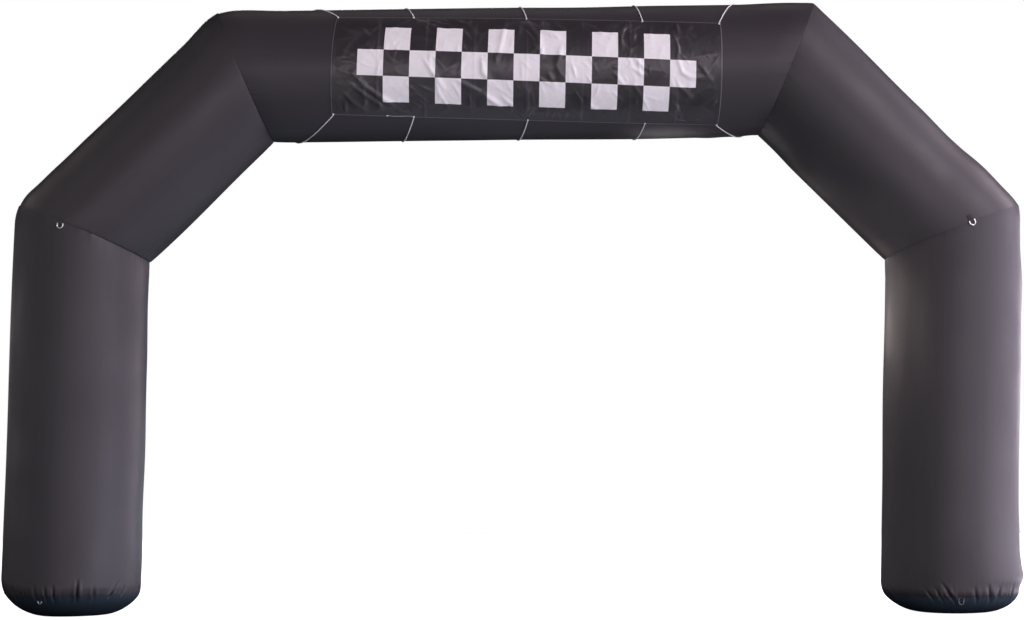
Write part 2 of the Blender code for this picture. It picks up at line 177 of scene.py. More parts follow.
def crowdedShares(count, power):
    # 0 to 1, close together at both ends: half x (2x)^power, mirrored
    x = np.linspace(0.0, 1.0, count)
    low = 0.5 * (2.0 * np.minimum(x, 0.5)) ** power
    high = 0.5 * (2.0 * np.minimum(1.0 - x, 0.5)) ** power
    return np.where(x < 0.5, low, 1.0 - high)


def waves(angles, distance, seed, roundRange, alongLength, count=18):
    # Sum of cos(k angle + m distance + phase), k whole so that it closes, brought to about +-1
    rng = np.random.default_rng(seed)
    total = 0.0
    for _ in range(count):
        k = rng.integers(roundRange[0], roundRange[1] + 1) * rng.choice((-1, 1))
        m = rng.normal() * 2.0 * np.pi / alongLength
        total = total + np.cos(k * angles + m * distance + rng.uniform(0.0, 2.0 * np.pi))
    return total / np.sqrt(0.5 * count) / 1.6


def rippled(angles, distance, seed):
    ripple = tube["ripple"]
    return ripple["height"] * waves(angles, distance, seed, ripple["waves"], ripple["length"])


def swelled(swells, angles, distance):
    # Each bulge is a smooth hump along the tube, times sin(angle)^2 on its own side
    total = 0.0
    for centre, height, reach, side in swells:
        rise = smooth(1.0 - np.abs(distance - centre) / reach)
        total = total + height * rise * np.clip(side * np.sin(angles), 0.0, 1.0) ** 2
    return total


def seamPuckers(name, angles, inset):
    # Radial puckers of the sewn mitre: cos(k angle) waves, each with its own reach, strongest inside the bend
    puckers = tube["puckers"]
    rng = np.random.default_rng(puckers["seed"] + list(bends).index(name))
    held = 1.0 - 0.5 * np.exp(-inset / tube["stitchReach"])
    total = 0.0
    for _ in range(puckers["count"]):
        k = rng.integers(*puckers["waves"])
        fade = np.exp(-inset / rng.uniform(*puckers["reach"])) * held
        total = total + rng.normal() * np.cos(k * angles + rng.uniform(0.0, 2.0 * np.pi)) * fade
    inside = 0.5 - 0.5 * np.sin(angles)
    return seams[name]["pucker"] * atLeast(puckers["outside"], inside ** 2) * total / puckers["spread"]


def cells(grid):
    # The four corners of each cell of a grid, in turn
    return np.stack([grid[:-1, :-1], grid[:-1, 1:], grid[1:, 1:], grid[1:, :-1]], axis=2)


def uvGrid(u, v):
    return np.stack(np.broadcast_arrays(u[None, :], v), axis=-1)


def addSurface(name, points, uv, capped=True, marks=None):
    # A skin over a grid of points (rows, columns, 3) whose columns close round. Fans may cap the first and
    # last rows, which then keep their edge.
    rows, columns = points.shape[:2]
    number = np.arange(rows * columns).reshape(rows, columns)
    ring = np.concatenate([number, number[:, :1]], axis=1)
    groups = [(cells(ring).reshape(-1, 4), cells(uv).reshape(-1, 4, 2))]
    corners, rim, capUv = points.reshape(-1, 3), [], 0.3
    if capped:
        corners = np.concatenate([corners, points[[0, -1]].mean(axis=1)])
        rim = number[[0, -1]]
        for row, way, centre in ((0, -1, rows * columns), (-1, 1, rows * columns + 1)):
            edge, edgeUv = ring[row][::way], uv[row][::way]
            middle = np.broadcast_to(uv[row].mean(axis=0) + (0.0, way * capUv), (columns, 2))
            fan = np.stack([edge[:-1], edge[1:], np.full(columns, centre)], axis=-1)
            groups.append((fan, np.stack([edgeUv[:-1], edgeUv[1:], middle], axis=1)))
    values = {key: np.broadcast_to(value, (rows, columns)).ravel() for key, value in (marks or {}).items()}
    return addFaces(name, corners, groups, values, rim)


def addFaces(name, corners, groups, marks, rim=()):
    # Groups of equal-sided faces, with the uv at their corners, into one mesh. The volume's sign says whether
    # the shell is inside out, and then each face is turned over. Edges between corners of the rim are sharp.
    volume = 0.0
    for faces, _ in groups:
        for i in range(1, faces.shape[1] - 1):
            a, b, c = (corners[faces[:, j]] for j in (0, i, i + 1))
            volume += np.einsum("ij,ij->", a, np.cross(b, c))
    way = -1 if volume < 0.0 else 1
    loops = np.concatenate([faces[:, ::way].ravel() for faces, _ in groups])
    loopUv = np.concatenate([uv[:, ::way].reshape(-1, 2) for _, uv in groups])
    sides = np.concatenate([np.full(len(faces), faces.shape[1]) for faces, _ in groups])
    mesh = bpy.data.meshes.new(name)
    mesh.vertices.add(len(corners))
    mesh.vertices.foreach_set("co", corners.astype(np.float32).ravel())
    mesh.loops.add(len(loops))
    mesh.loops.foreach_set("vertex_index", loops.astype(np.int32))
    mesh.polygons.add(len(sides))
    mesh.polygons.foreach_set("loop_start", (np.cumsum(sides) - sides).astype(np.int32))
    mesh.update(calc_edges=True)
    mesh.shade_smooth()
    mesh.uv_layers.new(name="surface").data.foreach_set("uv", loopUv.astype(np.float32).ravel())
    for key, value in marks.items():
        full = np.ones(len(corners))
        full[:len(value)] = value
        mesh.attributes.new(key, "FLOAT", "POINT").data.foreach_set("value", full.astype(np.float32))
    if len(rim):
        ends = np.zeros(len(mesh.edges) * 2, dtype=np.int32)
        mesh.edges.foreach_get("vertices", ends)
        sharp = np.isin(ends.reshape(-1, 2), rim).all(axis=1)
        mesh.attributes.new("sharp_edge", "BOOLEAN", "EDGE").data.foreach_set("value", sharp)
    return newObject(name, mesh)


def joined(name, parts):
    # Several finished meshes become one object
    with bpy.context.temp_override(active_object=parts[0], selected_editable_objects=parts):
        bpy.ops.object.join()
    parts[0].name = parts[0].data.name = name
    return parts[0]


def weld(thing, distance=1e-6):
    shell = bmesh.new()
    shell.from_mesh(thing.data)
    bmesh.ops.remove_doubles(shell, verts=shell.verts, dist=distance)
    shell.to_mesh(thing.data)
    shell.free()


def sweep(name, path, normals, radius, columns, closedPath=False):
    # A tube along a path: path + (normal x cos + binormal x sin) x radius
    ahead = np.gradient(path, axis=0)
    if closedPath:
        ahead = np.roll(path, -1, axis=0) - np.roll(path, 1, axis=0)
    tangent = unit(ahead)
    normal = unit(normals - tangent * np.sum(normals * tangent, axis=1, keepdims=True))
    binormal = np.cross(tangent, normal)
    turn = evenAngles(columns)[None, :, None]
    size = np.broadcast_to(radius, (len(path),))[:, None, None]
    points = path[:, None] + (np.cos(turn) * normal[:, None] + np.sin(turn) * binormal[:, None]) * size
    if closedPath:
        points, path = np.concatenate([points, points[:1]]), np.concatenate([path, path[:1]])
    uv = uvGrid(np.linspace(0.0, 1.0, columns + 1), runLength(path)[:, None])
    skin = addSurface(name, points, uv, capped=not closedPath)
    if closedPath:
        weld(skin)
    return skin


def finished(piece, material, node=None):
    # A piece gets its material, its body and slot, and the node that it stands for
    piece.data.materials.clear()
    piece.data.materials.append(material)
    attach(piece, "root")
    if node:
        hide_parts(node)
    return piece


def addNode(tree, kind, **settings):
    node = tree.nodes.new(kind)
    for key, value in settings.items():
        setattr(node, key, value)
    return node


def put(kind, inputs, **settings):
    # A shader node in the tree of its linked inputs; the other inputs are values
    tree = next(value.id_data for value in inputs.values() if isinstance(value, bpy.types.NodeSocket))
    node = addNode(tree, kind, **settings)
    for key, value in inputs.items():
        if isinstance(value, bpy.types.NodeSocket):
            tree.links.new(value, node.inputs[key])
        else:
            node.inputs[key].default_value = value
    return node


def newMaterial(name, **sockets):
    material = bpy.data.materials.new(name)
    material.use_nodes = True
    tree = material.node_tree
    shader = tree.nodes["Principled BSDF"]
    for key, value in sockets.items():
        shader.inputs[key.replace("_", " ")].default_value = value
    return material, tree, shader


def maths(operation, first, second=0.0):
    return put("ShaderNodeMath", {0: first, 1: second}, operation=operation).outputs[0]


def times(first, second):
    return maths("MULTIPLY", first, second)


def layered(colour, *layers):
    # Each layer (share, colour) is mixed over what is under it; a colour is red, green and blue or a link
    for share, over in layers:
        under, over = ((*tone, 1.0) if isinstance(tone, tuple) else tone for tone in (colour, over))
        colour = put("ShaderNodeMix", {0: share, 6: under, 7: over}, data_type="RGBA").outputs[2]
    return colour


def ramp(value, low, high, first=0.0, second=1.0):
    # A value from low to high becomes first to second, held at both ends
    inputs = {"Value": value, "From Min": low, "From Max": high, "To Min": first, "To Max": second}
    return put("ShaderNodeMapRange", inputs, clamp=True).outputs[0]


def objectPlace(tree):
    return addNode(tree, "ShaderNodeTexCoord").outputs["Object"]


def mark(tree, name):
    return addNode(tree, "ShaderNodeAttribute", attribute_name=name).outputs["Fac"]


def surface(tree):
    # The piece's own uv, and u and v alone
    uv = addNode(tree, "ShaderNodeUVMap", uv_map="surface").outputs[0]
    parts = put("ShaderNodeSeparateXYZ", {0: uv}).outputs
    return uv, parts[0], parts[1]


def noise(vector, scale, detail=3.0, roughness=0.55):
    if isinstance(scale, tuple):     # its own scale along u and along v
        vector = put("ShaderNodeMapping", {"Vector": vector, "Scale": (*scale, 1.0)}).outputs[0]
        scale = 1.0
    inputs = {"Vector": vector, "Scale": scale, "Detail": detail, "Roughness": roughness}
    return put("ShaderNodeTexNoise", inputs).outputs["Fac"]


def ridges(value, spacing):
    # |sin(pi value / spacing)|
    return maths("ABSOLUTE", maths("SINE", times(value, np.pi / spacing)))


def weaveHeight(tree, threads):
    # Over and under threads: ridges along u and along v, taken in turn by a checker
    uv, u, v = surface(tree)
    turn = put("ShaderNodeTexChecker", {"Vector": uv, "Scale": threads}).outputs["Fac"]
    over = times(ridges(u, 1.0 / threads), turn)
    under = times(ridges(v, 1.0 / threads), maths("SUBTRACT", 1.0, turn))
    return maths("ADD", over, under)


def stitchRow(run, away, row):
    # Dashes where sin(2 pi run / spacing) is over a limit, on a line at a place from the edge
    wave = maths("SINE", times(run, 2.0 * np.pi / row["spacing"]))
    off = maths("ABSOLUTE", maths("SUBTRACT", away, row["place"]))
    dashes = maths("GREATER_THAN", wave, row["limit"])
    return times(ramp(off, *row["wide"], 1.0, 0.0), dashes)


def linkShader(shader, colour, roughness, *bumps):
    # Links the colour, the gloss and layers of bump (height, distance, strength), each on the one before
    tree = shader.id_data
    tree.links.new(colour, shader.inputs["Base Color"])
    if roughness:
        tree.links.new(roughness, shader.inputs["Roughness"])
    under = {}
    for height, distance, strength in bumps:
        inputs = {"Height": height, "Distance": distance, "Strength": strength, **under}
        bump = put("ShaderNodeBump", inputs)
        under = {"Normal": bump.outputs[0]}
        tree.links.new(bump.outputs[0], shader.inputs["Normal"])


cloths = {
    "tubeFabric": {
        "dark": (0.035, 0.0325, 0.037), "light": (0.041, 0.0375, 0.042), "stain": (0.048, 0.043, 0.047),
        "threads": 900.0, "roughness": 0.47,
    },
    "baseFabricLeft": {
        "dark": (0.020, 0.031, 0.043), "light": (0.026, 0.041, 0.054), "stain": (0.032, 0.045, 0.057),
        "threads": 600.0, "roughness": 0.42,
    },
    "baseFabricRight": {
        # lighter than the left one
        "dark": (0.036, 0.055, 0.076), "light": (0.046, 0.070, 0.093), "stain": (0.056, 0.076, 0.097),
        "threads": 600.0, "roughness": 0.42,
    },
}
coating = {
    # painted shade in the hollows between the threads
    "weaveHollowShade": (0.010, 0.009, 0.011),
    # painted shade in the crease along each seam
    "seamCreaseShade": (0.016, 0.015, 0.017),
    # painted shade under the gathers near the ground
    "footSeamShade": (0.018, 0.022, 0.028),
    "seamCreaseShadeReach": (0.0010, 0.006),
    "footSeamShadeReach": (0.003, 0.032),
    "footSeamShadeHeights": (0.30, 0.40),     # above the ground, where the painted shade fades out
    "stitches": {"spacing": 0.006, "place": 0.010, "wide": (0.0006, 0.0014), "limit": -0.3},
}


def coatedCloth(name, cloth):
    # Woven, coated cloth: slow patches, faint streaks down the cloth, a fine weave and a sewn seam line;
    # painted shade between the threads, in the seam's crease and under the gathers near the ground
    roughness = cloth["roughness"]
    material, tree, shader = newMaterial(name, Roughness=roughness, Specular_IOR_Level=0.34)
    uv, u, _ = surface(tree)
    place = objectPlace(tree)
    seam = mark(tree, "fromSeam")
    weave = weaveHeight(tree, cloth["threads"])
    # Near the ground the cloth beside the seam is darkened in patches: painted shade under the gathers
    height = put("ShaderNodeSeparateXYZ", {0: place}).outputs[2]
    low = ramp(height, *coating["footSeamShadeHeights"], 1.0, 0.0)
    footSeamShade = times(low, ramp(seam, *coating["footSeamShadeReach"], 0.60, 0.0))
    footSeamShade = times(footSeamShade, ramp(noise(uv, (16.0, 9.0)), 0.38, 0.62, 0.1, 1.0))
    colour = layered(
        cloth["dark"],
        (ramp(noise(place, 0.9, 4.0), 0.35, 0.65), cloth["light"]),
        (ramp(noise(uv, (26.0, 1.1)), 0.40, 0.75, 0.0, 0.35), cloth["stain"]),
        # painted shade between the threads
        (ramp(weave, 0.0, 1.0, 0.16, 0.0), coating["weaveHollowShade"]),
        # a darker band along the seam: painted shade in its crease
        (ramp(seam, *coating["seamCreaseShadeReach"], 0.16, 0.0), coating["seamCreaseShade"]),
        # painted shade under the gathers beside the base seam
        (footSeamShade, coating["footSeamShade"]))
    threads = maths("ADD", times(weave, 0.25), stitchRow(u, seam, coating["stitches"]))
    crumple = noise(uv, (7.0, 3.0), roughness=0.5)
    gloss = ramp(noise(place, 2.3, 4.0), 0.3, 0.7, roughness - 0.05, roughness + 0.07)
    linkShader(shader, colour, gloss, (threads, 0.0004, 0.35), (crumple, 0.004, 0.35))
    return material


fabrics = {name: coatedCloth(name, cloth) for name, cloth in cloths.items()}
print("cloth materials made")

panels = {
    # swells are slow bulges (+) and hollows (-): distance along the tube, height, half length, side (1 outer,
    # -1 inner)
    "shoulderLeft": {
        "node": "panel_shoulder_left", "from": "elbowLeft", "to": "shoulderLeft",
        "radius": 0.501, "belly": 0.001, "rows": 140, "crowding": 1.45, "seed": 21,
        "swells": ((0.05, -0.004, 0.16, 1), (0.30, -0.003, 0.24, 1), (0.80, -0.006, 0.90, 1),
                   (1.80, 0.017, 0.26, 1), (0.55, 0.010, 0.70, -1)),
    },
    "header": {
        "node": "panel_header", "from": "shoulderLeft", "to": "shoulderRight",
        "radius": 0.503, "belly": 0.002, "rows": 150, "crowding": 1.7, "seed": 22,
        "swells": ((0.00, 0.010, 0.30, 1), (2.58, -0.006, 0.60, 1), (4.157, 0.012, 0.45, 1),
                   (3.00, 0.008, 1.00, -1), (3.57, 0.005, 0.13, -1), (3.90, -0.006, 0.14, -1)),
    },
    "shoulderRight": {
        "node": "panel_shoulder_right", "from": "shoulderRight", "to": "elbowRight",
        "radius": 0.501, "belly": 0.000, "rows": 140, "crowding": 1.45, "seed": 23,
        "swells": ((0.10, 0.013, 0.75, 1), (1.24, -0.010, 0.30, 1), (1.60, 0.010, 0.25, 1),
                   (0.35, -0.008, 0.25, -1)),
    },
}
panelColumns = 320


def cornerDrawn(radius, tubeRadius, name, angles, inset):
    # Towards a seam the radius goes to the seam's own, less the dip, the outer corner's cut and the crease,
    # which is deep inside the bend and faint outside it; an ear may stand out at the outer corner
    seam = seams[name]
    near = np.clip(1.0 - inset / tube["cornerReach"], 0.0, 1.0)
    outer = np.clip(np.sin(angles), 0.0, 1.0) ** 2
    inside = 0.5 - 0.5 * np.sin(angles)
    drawn = radius + (tube["radius"] - tubeRadius) * near
    drawn = drawn - near ** 2 * (tube["seamDip"] + outer * seam["cut"])
    drawn = drawn + seam["ear"] * outer ** 3 * hump(inset, tube["earReach"])
    crease = atLeast(tube["creaseOutside"], inside ** 1.5) * np.exp(-inset / tube["creaseReach"])
    return drawn - seam["crease"] * crease + seamPuckers(name, angles, inset)


def cutDistance(base, axis, spoke, radius, name, side):
    # How far along the tube each spoke's tip meets a mitre plane, half a gap to one side of it
    normal = seamNormal(name, axis)
    reach = (bend(name) - base) @ normal - radius * (spoke @ normal) + side * 0.5 * tube["gap"]
    return reach / (axis @ normal)


def roundUv(angles, distance, radius):
    # u runs round the tube and v along it
    u = np.append(angles, angles[0] + 2.0 * np.pi) * radius
    return uvGrid(u, np.concatenate([distance, distance[:, :1]], axis=1))


def tubeSkin(node, base, axis, spoke, uv, radius, distance, ends):
    # Base + axis x distance + spoke x radius
    points = base + axis * distance[..., None] + spoke * radius[..., None]
    fromSeam = np.minimum(distance - ends[0], ends[1] - distance)
    skin = addSurface(node + "_skin", points, uv, marks={"fromSeam": fromSeam})
    return finished(skin, fabrics["tubeFabric"], node)


def panelSkin(panel):
    base, axis = bend(panel["from"]), along(panel["from"], panel["to"])
    angles = evenAngles(panelColumns)
    spoke = spokes(outwards(axis), angles)
    share = crowdedShares(panel["rows"], panel["crowding"])[:, None]
    radius = np.full((panel["rows"], panelColumns), tube["radius"])
    for _ in range(2):
        # The ends move with the radius there, so the length is worked out twice
        start = cutDistance(base, axis, spoke, radius[0], panel["from"], 1.0)
        stop = cutDistance(base, axis, spoke, radius[-1], panel["to"], -1.0)
        distance = start + share * (stop - start)
        radius = panel["radius"] + panel["belly"] * np.sin(np.pi * share)
        radius = radius + rippled(angles, distance, panel["seed"])
        radius = radius + swelled(panel["swells"], angles, distance)
        radius = cornerDrawn(radius, panel["radius"], panel["from"], angles, distance - start)
        radius = cornerDrawn(radius, panel["radius"], panel["to"], angles, stop - distance)
    uv = roundUv(angles, distance, tube["radius"])
    tubeSkin(panel["node"], base, axis, spoke, uv, radius, distance, (start, stop))


for panel in panels.values():
    panelSkin(panel)
print("tube panels made")

feet = {
    # how each side curves in to the flat patch on the ground; the leg's slow bulges, as on the panels; the
    # gathers along the base seam: angle, depth, reach above the seam, lean in degrees a metre, half width
    "left": {
        "foot": "footLeft", "elbow": "elbowLeft", "fabric": "baseFabricLeft", "turn": 1.0,
        "radius": 0.500, "seam": 0.165, "seed": 31,
        "outer": {"patch": 0.14, "curve": 0.29, "bulge": 0.0},
        "inner": {"patch": 0.23, "curve": 0.225, "bulge": 0.0},
        "front": {"patch": 0.205, "curve": 0.225, "bulge": 0.0},
        "swells": ((2.45, 0.011, 1.30, 1), (2.35, -0.008, 0.50, -1), (1.20, 0.006, 0.45, -1),
                   (0.40, 0.006, 0.35, -1), (0.12, 0.009, 0.08, -1)),
        "gathers": (
            (-62, 0.010, 0.065, -30, 0.010), (-50, 0.020, 0.110, -70, 0.009), (-34, 0.008, 0.070, 10, 0.009),
            (-20, 0.025, 0.125, 0, 0.008), (-1, 0.016, 0.075, 6, 0.011), (6, 0.012, 0.075, 10, 0.009),
            (15, 0.012, 0.085, 8, 0.010), (40, 0.010, 0.075, 20, 0.012), (70, 0.012, 0.080, -20, 0.012),
            (98, 0.015, 0.100, 15, 0.011), (126, 0.012, 0.080, -35, 0.011), (152, 0.018, 0.120, 20, 0.011),
            (181, 0.012, 0.090, -10, 0.010), (207, 0.016, 0.110, 40, 0.011), (233, 0.012, 0.080, -15, 0.012),
            (262, 0.015, 0.100, 25, 0.011),
        ),
    },
    "right": {
        "foot": "footRight", "elbow": "elbowRight", "fabric": "baseFabricRight", "turn": -1.0,
        "radius": 0.492, "seam": 0.130, "seed": 32,
        "outer": {"patch": 0.25, "curve": 0.16, "bulge": 0.020},
        "inner": {"patch": 0.21, "curve": 0.23, "bulge": 0.0},
        "front": {"patch": 0.25, "curve": 0.172, "bulge": 0.0},
        "swells": ((2.42, 0.012, 0.30, 1), (2.00, 0.015, 1.10, 1), (0.44, 0.011, 0.40, 1),
                   (0.25, 0.017, 0.09, 1), (1.60, 0.006, 0.70, -1), (0.03, -0.012, 0.10, -1)),
        "gathers": (
            (-30, 0.010, 0.075, -70, 0.011), (-22, 0.013, 0.075, -60, 0.009), (-13, 0.018, 0.110, -75, 0.011),
            (8, 0.010, 0.085, -30, 0.013), (21, 0.015, 0.090, -25, 0.014), (30, 0.010, 0.080, 15, 0.011),
            (48, 0.012, 0.085, 15, 0.013), (72, 0.012, 0.080, -15, 0.011), (101, 0.015, 0.100, 20, 0.011),
            (128, 0.012, 0.090, -30, 0.011), (155, 0.016, 0.110, 20, 0.011), (184, 0.012, 0.090, 0, 0.011),
            (211, 0.017, 0.100, 30, 0.011), (238, 0.012, 0.080, -20, 0.011), (263, 0.014, 0.100, 20, 0.011),
            (290, 0.012, 0.090, -30, 0.011),
        ),
    },
}
gatherShape = {
    # reach below the seam; how a groove fades, and widens above the seam; the puffs beside it, in half widths
    "below": 0.060, "fading": 1.2, "tight": 0.75, "widening": 0.6,
    "puff": 0.38, "puffAt": 2.3, "puffHalf": 1.5,
    "fineHeight": 0.0020, "fineAbove": 0.040, "fineBelow": 0.030,
}
bulge = {"height": 0.30, "reach": 0.16}
legRows = {"close": 44, "open": 64, "closeShare": 0.085}
baseRows = 64
footColumns = 440


def apart(angles, centre):
    # Signed difference of two angles, in radians
    return (angles - centre + np.pi) % (2.0 * np.pi) - np.pi


def footAngles(foot):
    # Columns crowd round each gather: equal steps of a running sum of 1 + bumps
    steps, extra, reach = 7200, 1.6, 3.0
    fine = np.linspace(0.0, 2.0 * np.pi, steps + 1)
    density = np.ones_like(fine)
    for angle, _, _, _, wide in foot["gathers"]:
        density += extra * hump(apart(fine, np.radians(angle)) * foot["radius"], reach * wide)
    total = np.concatenate([[0.0], np.cumsum(0.5 * (density[1:] + density[:-1]))])
    return np.interp(np.linspace(0.0, total[-1], footColumns, endpoint=False), total, fine)


def footBlend(foot, key, angles):
    share = 0.5 + 0.5 * np.sin(angles)
    sides = share * foot["outer"][key] + (1.0 - share) * foot["inner"][key]
    return sides + (foot["front"][key] - sides) * np.cos(angles) ** 2


def gatherDepth(foot, angles, height):
    # Each gather is a groove exp(-(x / w)^2) with a soft puff on each side, deepest at the seam
    above = height - foot["seam"]
    over = above > 0.0
    shape = gatherShape
    depth = 0.0
    for angle, deep, reach, lean, wide in foot["gathers"]:
        x = np.abs(apart(angles, np.radians(angle + lean * above))) * foot["radius"]
        away = np.where(over, above / reach, -above / shape["below"])
        fade = np.clip(1.0 - away, 0.0, 1.0) ** shape["fading"]
        tight = wide * (shape["tight"] + shape["widening"] * np.clip(above / reach, 0.0, 1.0))
        puffs = hump(x - shape["puffAt"] * wide, shape["puffHalf"] * wide)
        depth = depth + deep * fade * (hump(x, tight) - shape["puff"] * puffs)
    fine = waves(angles, height, foot["seed"] + 5, (48, 130), 0.35, 26)
    fade = np.exp(np.where(over, -above / shape["fineAbove"], above / shape["fineBelow"]))
    return depth + shape["fineHeight"] * fine * fade


def footRadius(foot, angles, height):
    # A quarter ellipse from the flat patch up to the full radius, plus the low bulge, less the gathers
    patch, curve = footBlend(foot, "patch", angles), footBlend(foot, "curve", angles)
    near = np.clip(1.0 - np.abs(height - bulge["height"]) / bulge["reach"], 0.0, 1.0)
    radius = patch + (foot["radius"] - patch) * quarterRound(height / curve)
    radius = radius + footBlend(foot, "bulge", angles) * np.sin(0.5 * np.pi * near) ** 2
    return radius + swelled(foot["swells"], angles, height) - gatherDepth(foot, angles, height)


def legSkin(side, foot, base, up, spoke, angles):
    # Close rows over the gathers, then rows that crowd towards the elbow
    close = legRows["closeShare"]
    low = np.linspace(0.0, 1.0, legRows["close"]) ** 1.15 * close
    high = 1.0 - (1.0 - close) * (1.0 - np.linspace(0.0, 1.0, legRows["open"])[1:]) ** 1.6
    share = np.concatenate([low, high])[:, None]
    radius = np.full((len(share), footColumns), foot["radius"])
    for _ in range(3):
        # The ends and heights move with the radius, so they are worked out three times
        start = (foot["seam"] + 0.5 * tube["gap"] - spoke[:, 2] * radius[0]) / up[2]
        stop = cutDistance(base, up, spoke, radius[-1], foot["elbow"], -1.0)
        distance = start + share * (stop - start)
        radius = footRadius(foot, angles, distance * up[2] + spoke[:, 2] * radius)
        radius = radius + rippled(angles, distance, foot["seed"])
        radius = cornerDrawn(radius, foot["radius"], foot["elbow"], angles, stop - distance)
    uv = roundUv(angles, distance, foot["radius"])
    tubeSkin("leg_" + side, base, up, spoke, uv, radius, distance, (start, stop))


def baseSkin(side, foot, base, up, spoke, angles):
    # height = curve x (1 - cos t), t from the flat patch up to the seam
    curve = footBlend(foot, "curve", angles)
    top = np.arccos(1.0 - np.clip((foot["seam"] - 0.5 * tube["gap"]) / curve, 0.0, 1.0))
    share = (1.0 - (1.0 - np.linspace(0.0, 1.0, baseRows)) ** 1.25)[:, None]
    height = curve * (1.0 - np.cos(share * top))
    radius = footRadius(foot, angles, height)
    distance = (height - spoke[:, 2] * radius) / up[2]
    points = base + up * distance[..., None] + spoke * radius[..., None]
    points[..., 2] = height
    steps = np.linalg.norm(np.diff(points, axis=0, prepend=points[:1]), axis=2)
    run = steps.cumsum(axis=0)
    marks = {"fromSeam": run[-1:] - run}
    skin = addSurface("base_" + side + "_skin", points, roundUv(angles, run, foot["radius"]), marks=marks)
    finished(skin, fabrics[foot["fabric"]], "base_" + side)


for side, foot in feet.items():
    base, up = bend(foot["foot"]), along(foot["foot"], foot["elbow"])
    angles = footAngles(foot)
    spoke = spokes(outwards(foot["turn"] * up), angles)
    legSkin(side, foot, base, up, spoke, angles)
    baseSkin(side, foot, base, up, spoke, angles)
print("legs and bases made")

banner = {
    # the corners: distance along the header from its left bend, angle above (+) or below (-) the front
    "topLeft": (0.738, 44.8), "topRight": (3.613, 29.4),
    "bottomLeft": (0.696, -49.3), "bottomRight": (3.602, -67.0),
    "topSag": 1.4,            # degrees, at the middle of the top hem
    "leftBow": 0.007,
    "bellyMiddle": 2.08, "bellyHalf": 1.95,     # the header's belly under it
    "clearance": 0.0016, "thickness": 0.002, "edgeRound": 0.0020, "edgeLift": 0.0012,
    "hemThickness": 0.003, "hemWidth": 0.028, "hemStep": 0.003,
    "stitchLine": 0.022, "stitchDip": 0.0007, "stitchHalf": 0.0016,
    "length": 2.881, "width": 0.826,
    "checkSize": 0.192, "checkFrom": (0.192, 0.125), "checkCount": (13, 3),
    "cells": (320, 96),
}
folds = (
    # points, in thousandths of the way along and down the banner; height, half width
    (((54, 595), (89, 718), (135, 823), (200, 971)), 0.015, 0.019),
    (((50, 700), (99, 817), (158, 946)), 0.011, 0.017),
    (((30, 760), (55, 862), (92, 949)), 0.009, 0.016),
    (((140, 190), (179, 104), (200, 40)), 0.006, 0.013),
    (((205, 30), (222, 86), (248, 195)), 0.008, 0.013),
    (((210, 30), (233, 85), (272, 154), (299, 191)), 0.008, 0.014),
    (((250, 60), (291, 111), (324, 176)), 0.007, 0.014),
    (((310, 50), (339, 93), (364, 185)), 0.007, 0.014),
    (((251, 380), (252, 572)), 0.006, 0.012),
    (((235, 450), (260, 571), (288, 703)), 0.011, 0.017),
    (((262, 430), (288, 530)), 0.007, 0.013),
    (((265, 580), (279, 805)), 0.007, 0.014),
    (((385, 430), (388, 556), (411, 640)), 0.012, 0.018),
    (((330, 640), (355, 685), (383, 731), (416, 809), (470, 940)), 0.015, 0.020),
    (((445, 60), (436, 250), (422, 470)), 0.010, 0.018),
    (((440, 770), (456, 814), (498, 960)), 0.009, 0.015),
    (((503, 650), (505, 940)), 0.010, 0.013),
    (((512, 700), (521, 860)), 0.007, 0.012),
    (((486, 60), (478, 190)), 0.006, 0.012),
    (((499, 40), (506, 107), (526, 204), (540, 400)), 0.010, 0.015),
    (((502, 50), (517, 92), (537, 143), (580, 220)), 0.009, 0.015),
    (((588, 300), (578, 475), (592, 590)), 0.012, 0.020),
    (((556, 540), (575, 660)), 0.008, 0.017),
    (((653, 799), (690, 865)), 0.008, 0.015),
    (((600, 780), (640, 905)), 0.006, 0.015),
    (((720, 160), (765, 77), (795, 40)), 0.009, 0.014),
    (((760, 130), (798, 46)), 0.008, 0.012),
    (((736, 143), (744, 300)), 0.008, 0.014),
    (((768, 360), (802, 463)), 0.010, 0.015),
    (((764, 460), (806, 539)), 0.010, 0.015),
    (((774, 610), (806, 760)), 0.010, 0.015),
    (((725, 520), (754, 640)), 0.009, 0.015),
    (((884, 350), (897, 488), (917, 523), (955, 532)), 0.012, 0.016),
    (((890, 600), (925, 710)), 0.010, 0.015),
    (((883, 40), (892, 140)), 0.006, 0.013),
    (((760, 840), (800, 960)), 0.007, 0.014),
    (((935, 390), (962, 490)), 0.008, 0.015),
    (((655, 60), (700, 185)), 0.007, 0.014),
)
wrinkles = {
    "seed": 7,
    "nets": ((80, 0.030, 0.0038), (230, 0.016, 0.0016)),     # seeds, crest width, height
    "strokes": 170, "strokeHeight": 0.0056, "strokeWidth": 0.0085, "strokeHalf": (0.03, 0.12),
    "strokeTurns": (0.55, 0.95, 1.45, -1.05),
    "fade": 0.06,             # they die out this close to the edge, and the folds a little closer
    "foldFade": 0.045,
    "foldShare": 0.75,
    "overlap": 0.25,          # the share of the lower of two folds that is added to the higher
    "rest": 0.0008,
    "fullHighlightFold": 0.030, "fullHighlightWrinkle": 0.008,     # the heights of crests with the full painted highlight
}
storage = {
    # creases across the banner, as shares of its length
    "places": (0.119, 0.241, 0.367, 0.500, 0.643, 0.765, 0.887),
    "height": 0.0028, "half": 0.006, "wander": 0.0015,
}


def headerRadius(distance, degrees):
    header = panels["header"]
    belly = header["belly"] * (1.0 - np.abs(distance - banner["bellyMiddle"]) / banner["bellyHalf"])
    return header["radius"] + belly + swelled(header["swells"], np.radians(degrees), distance)


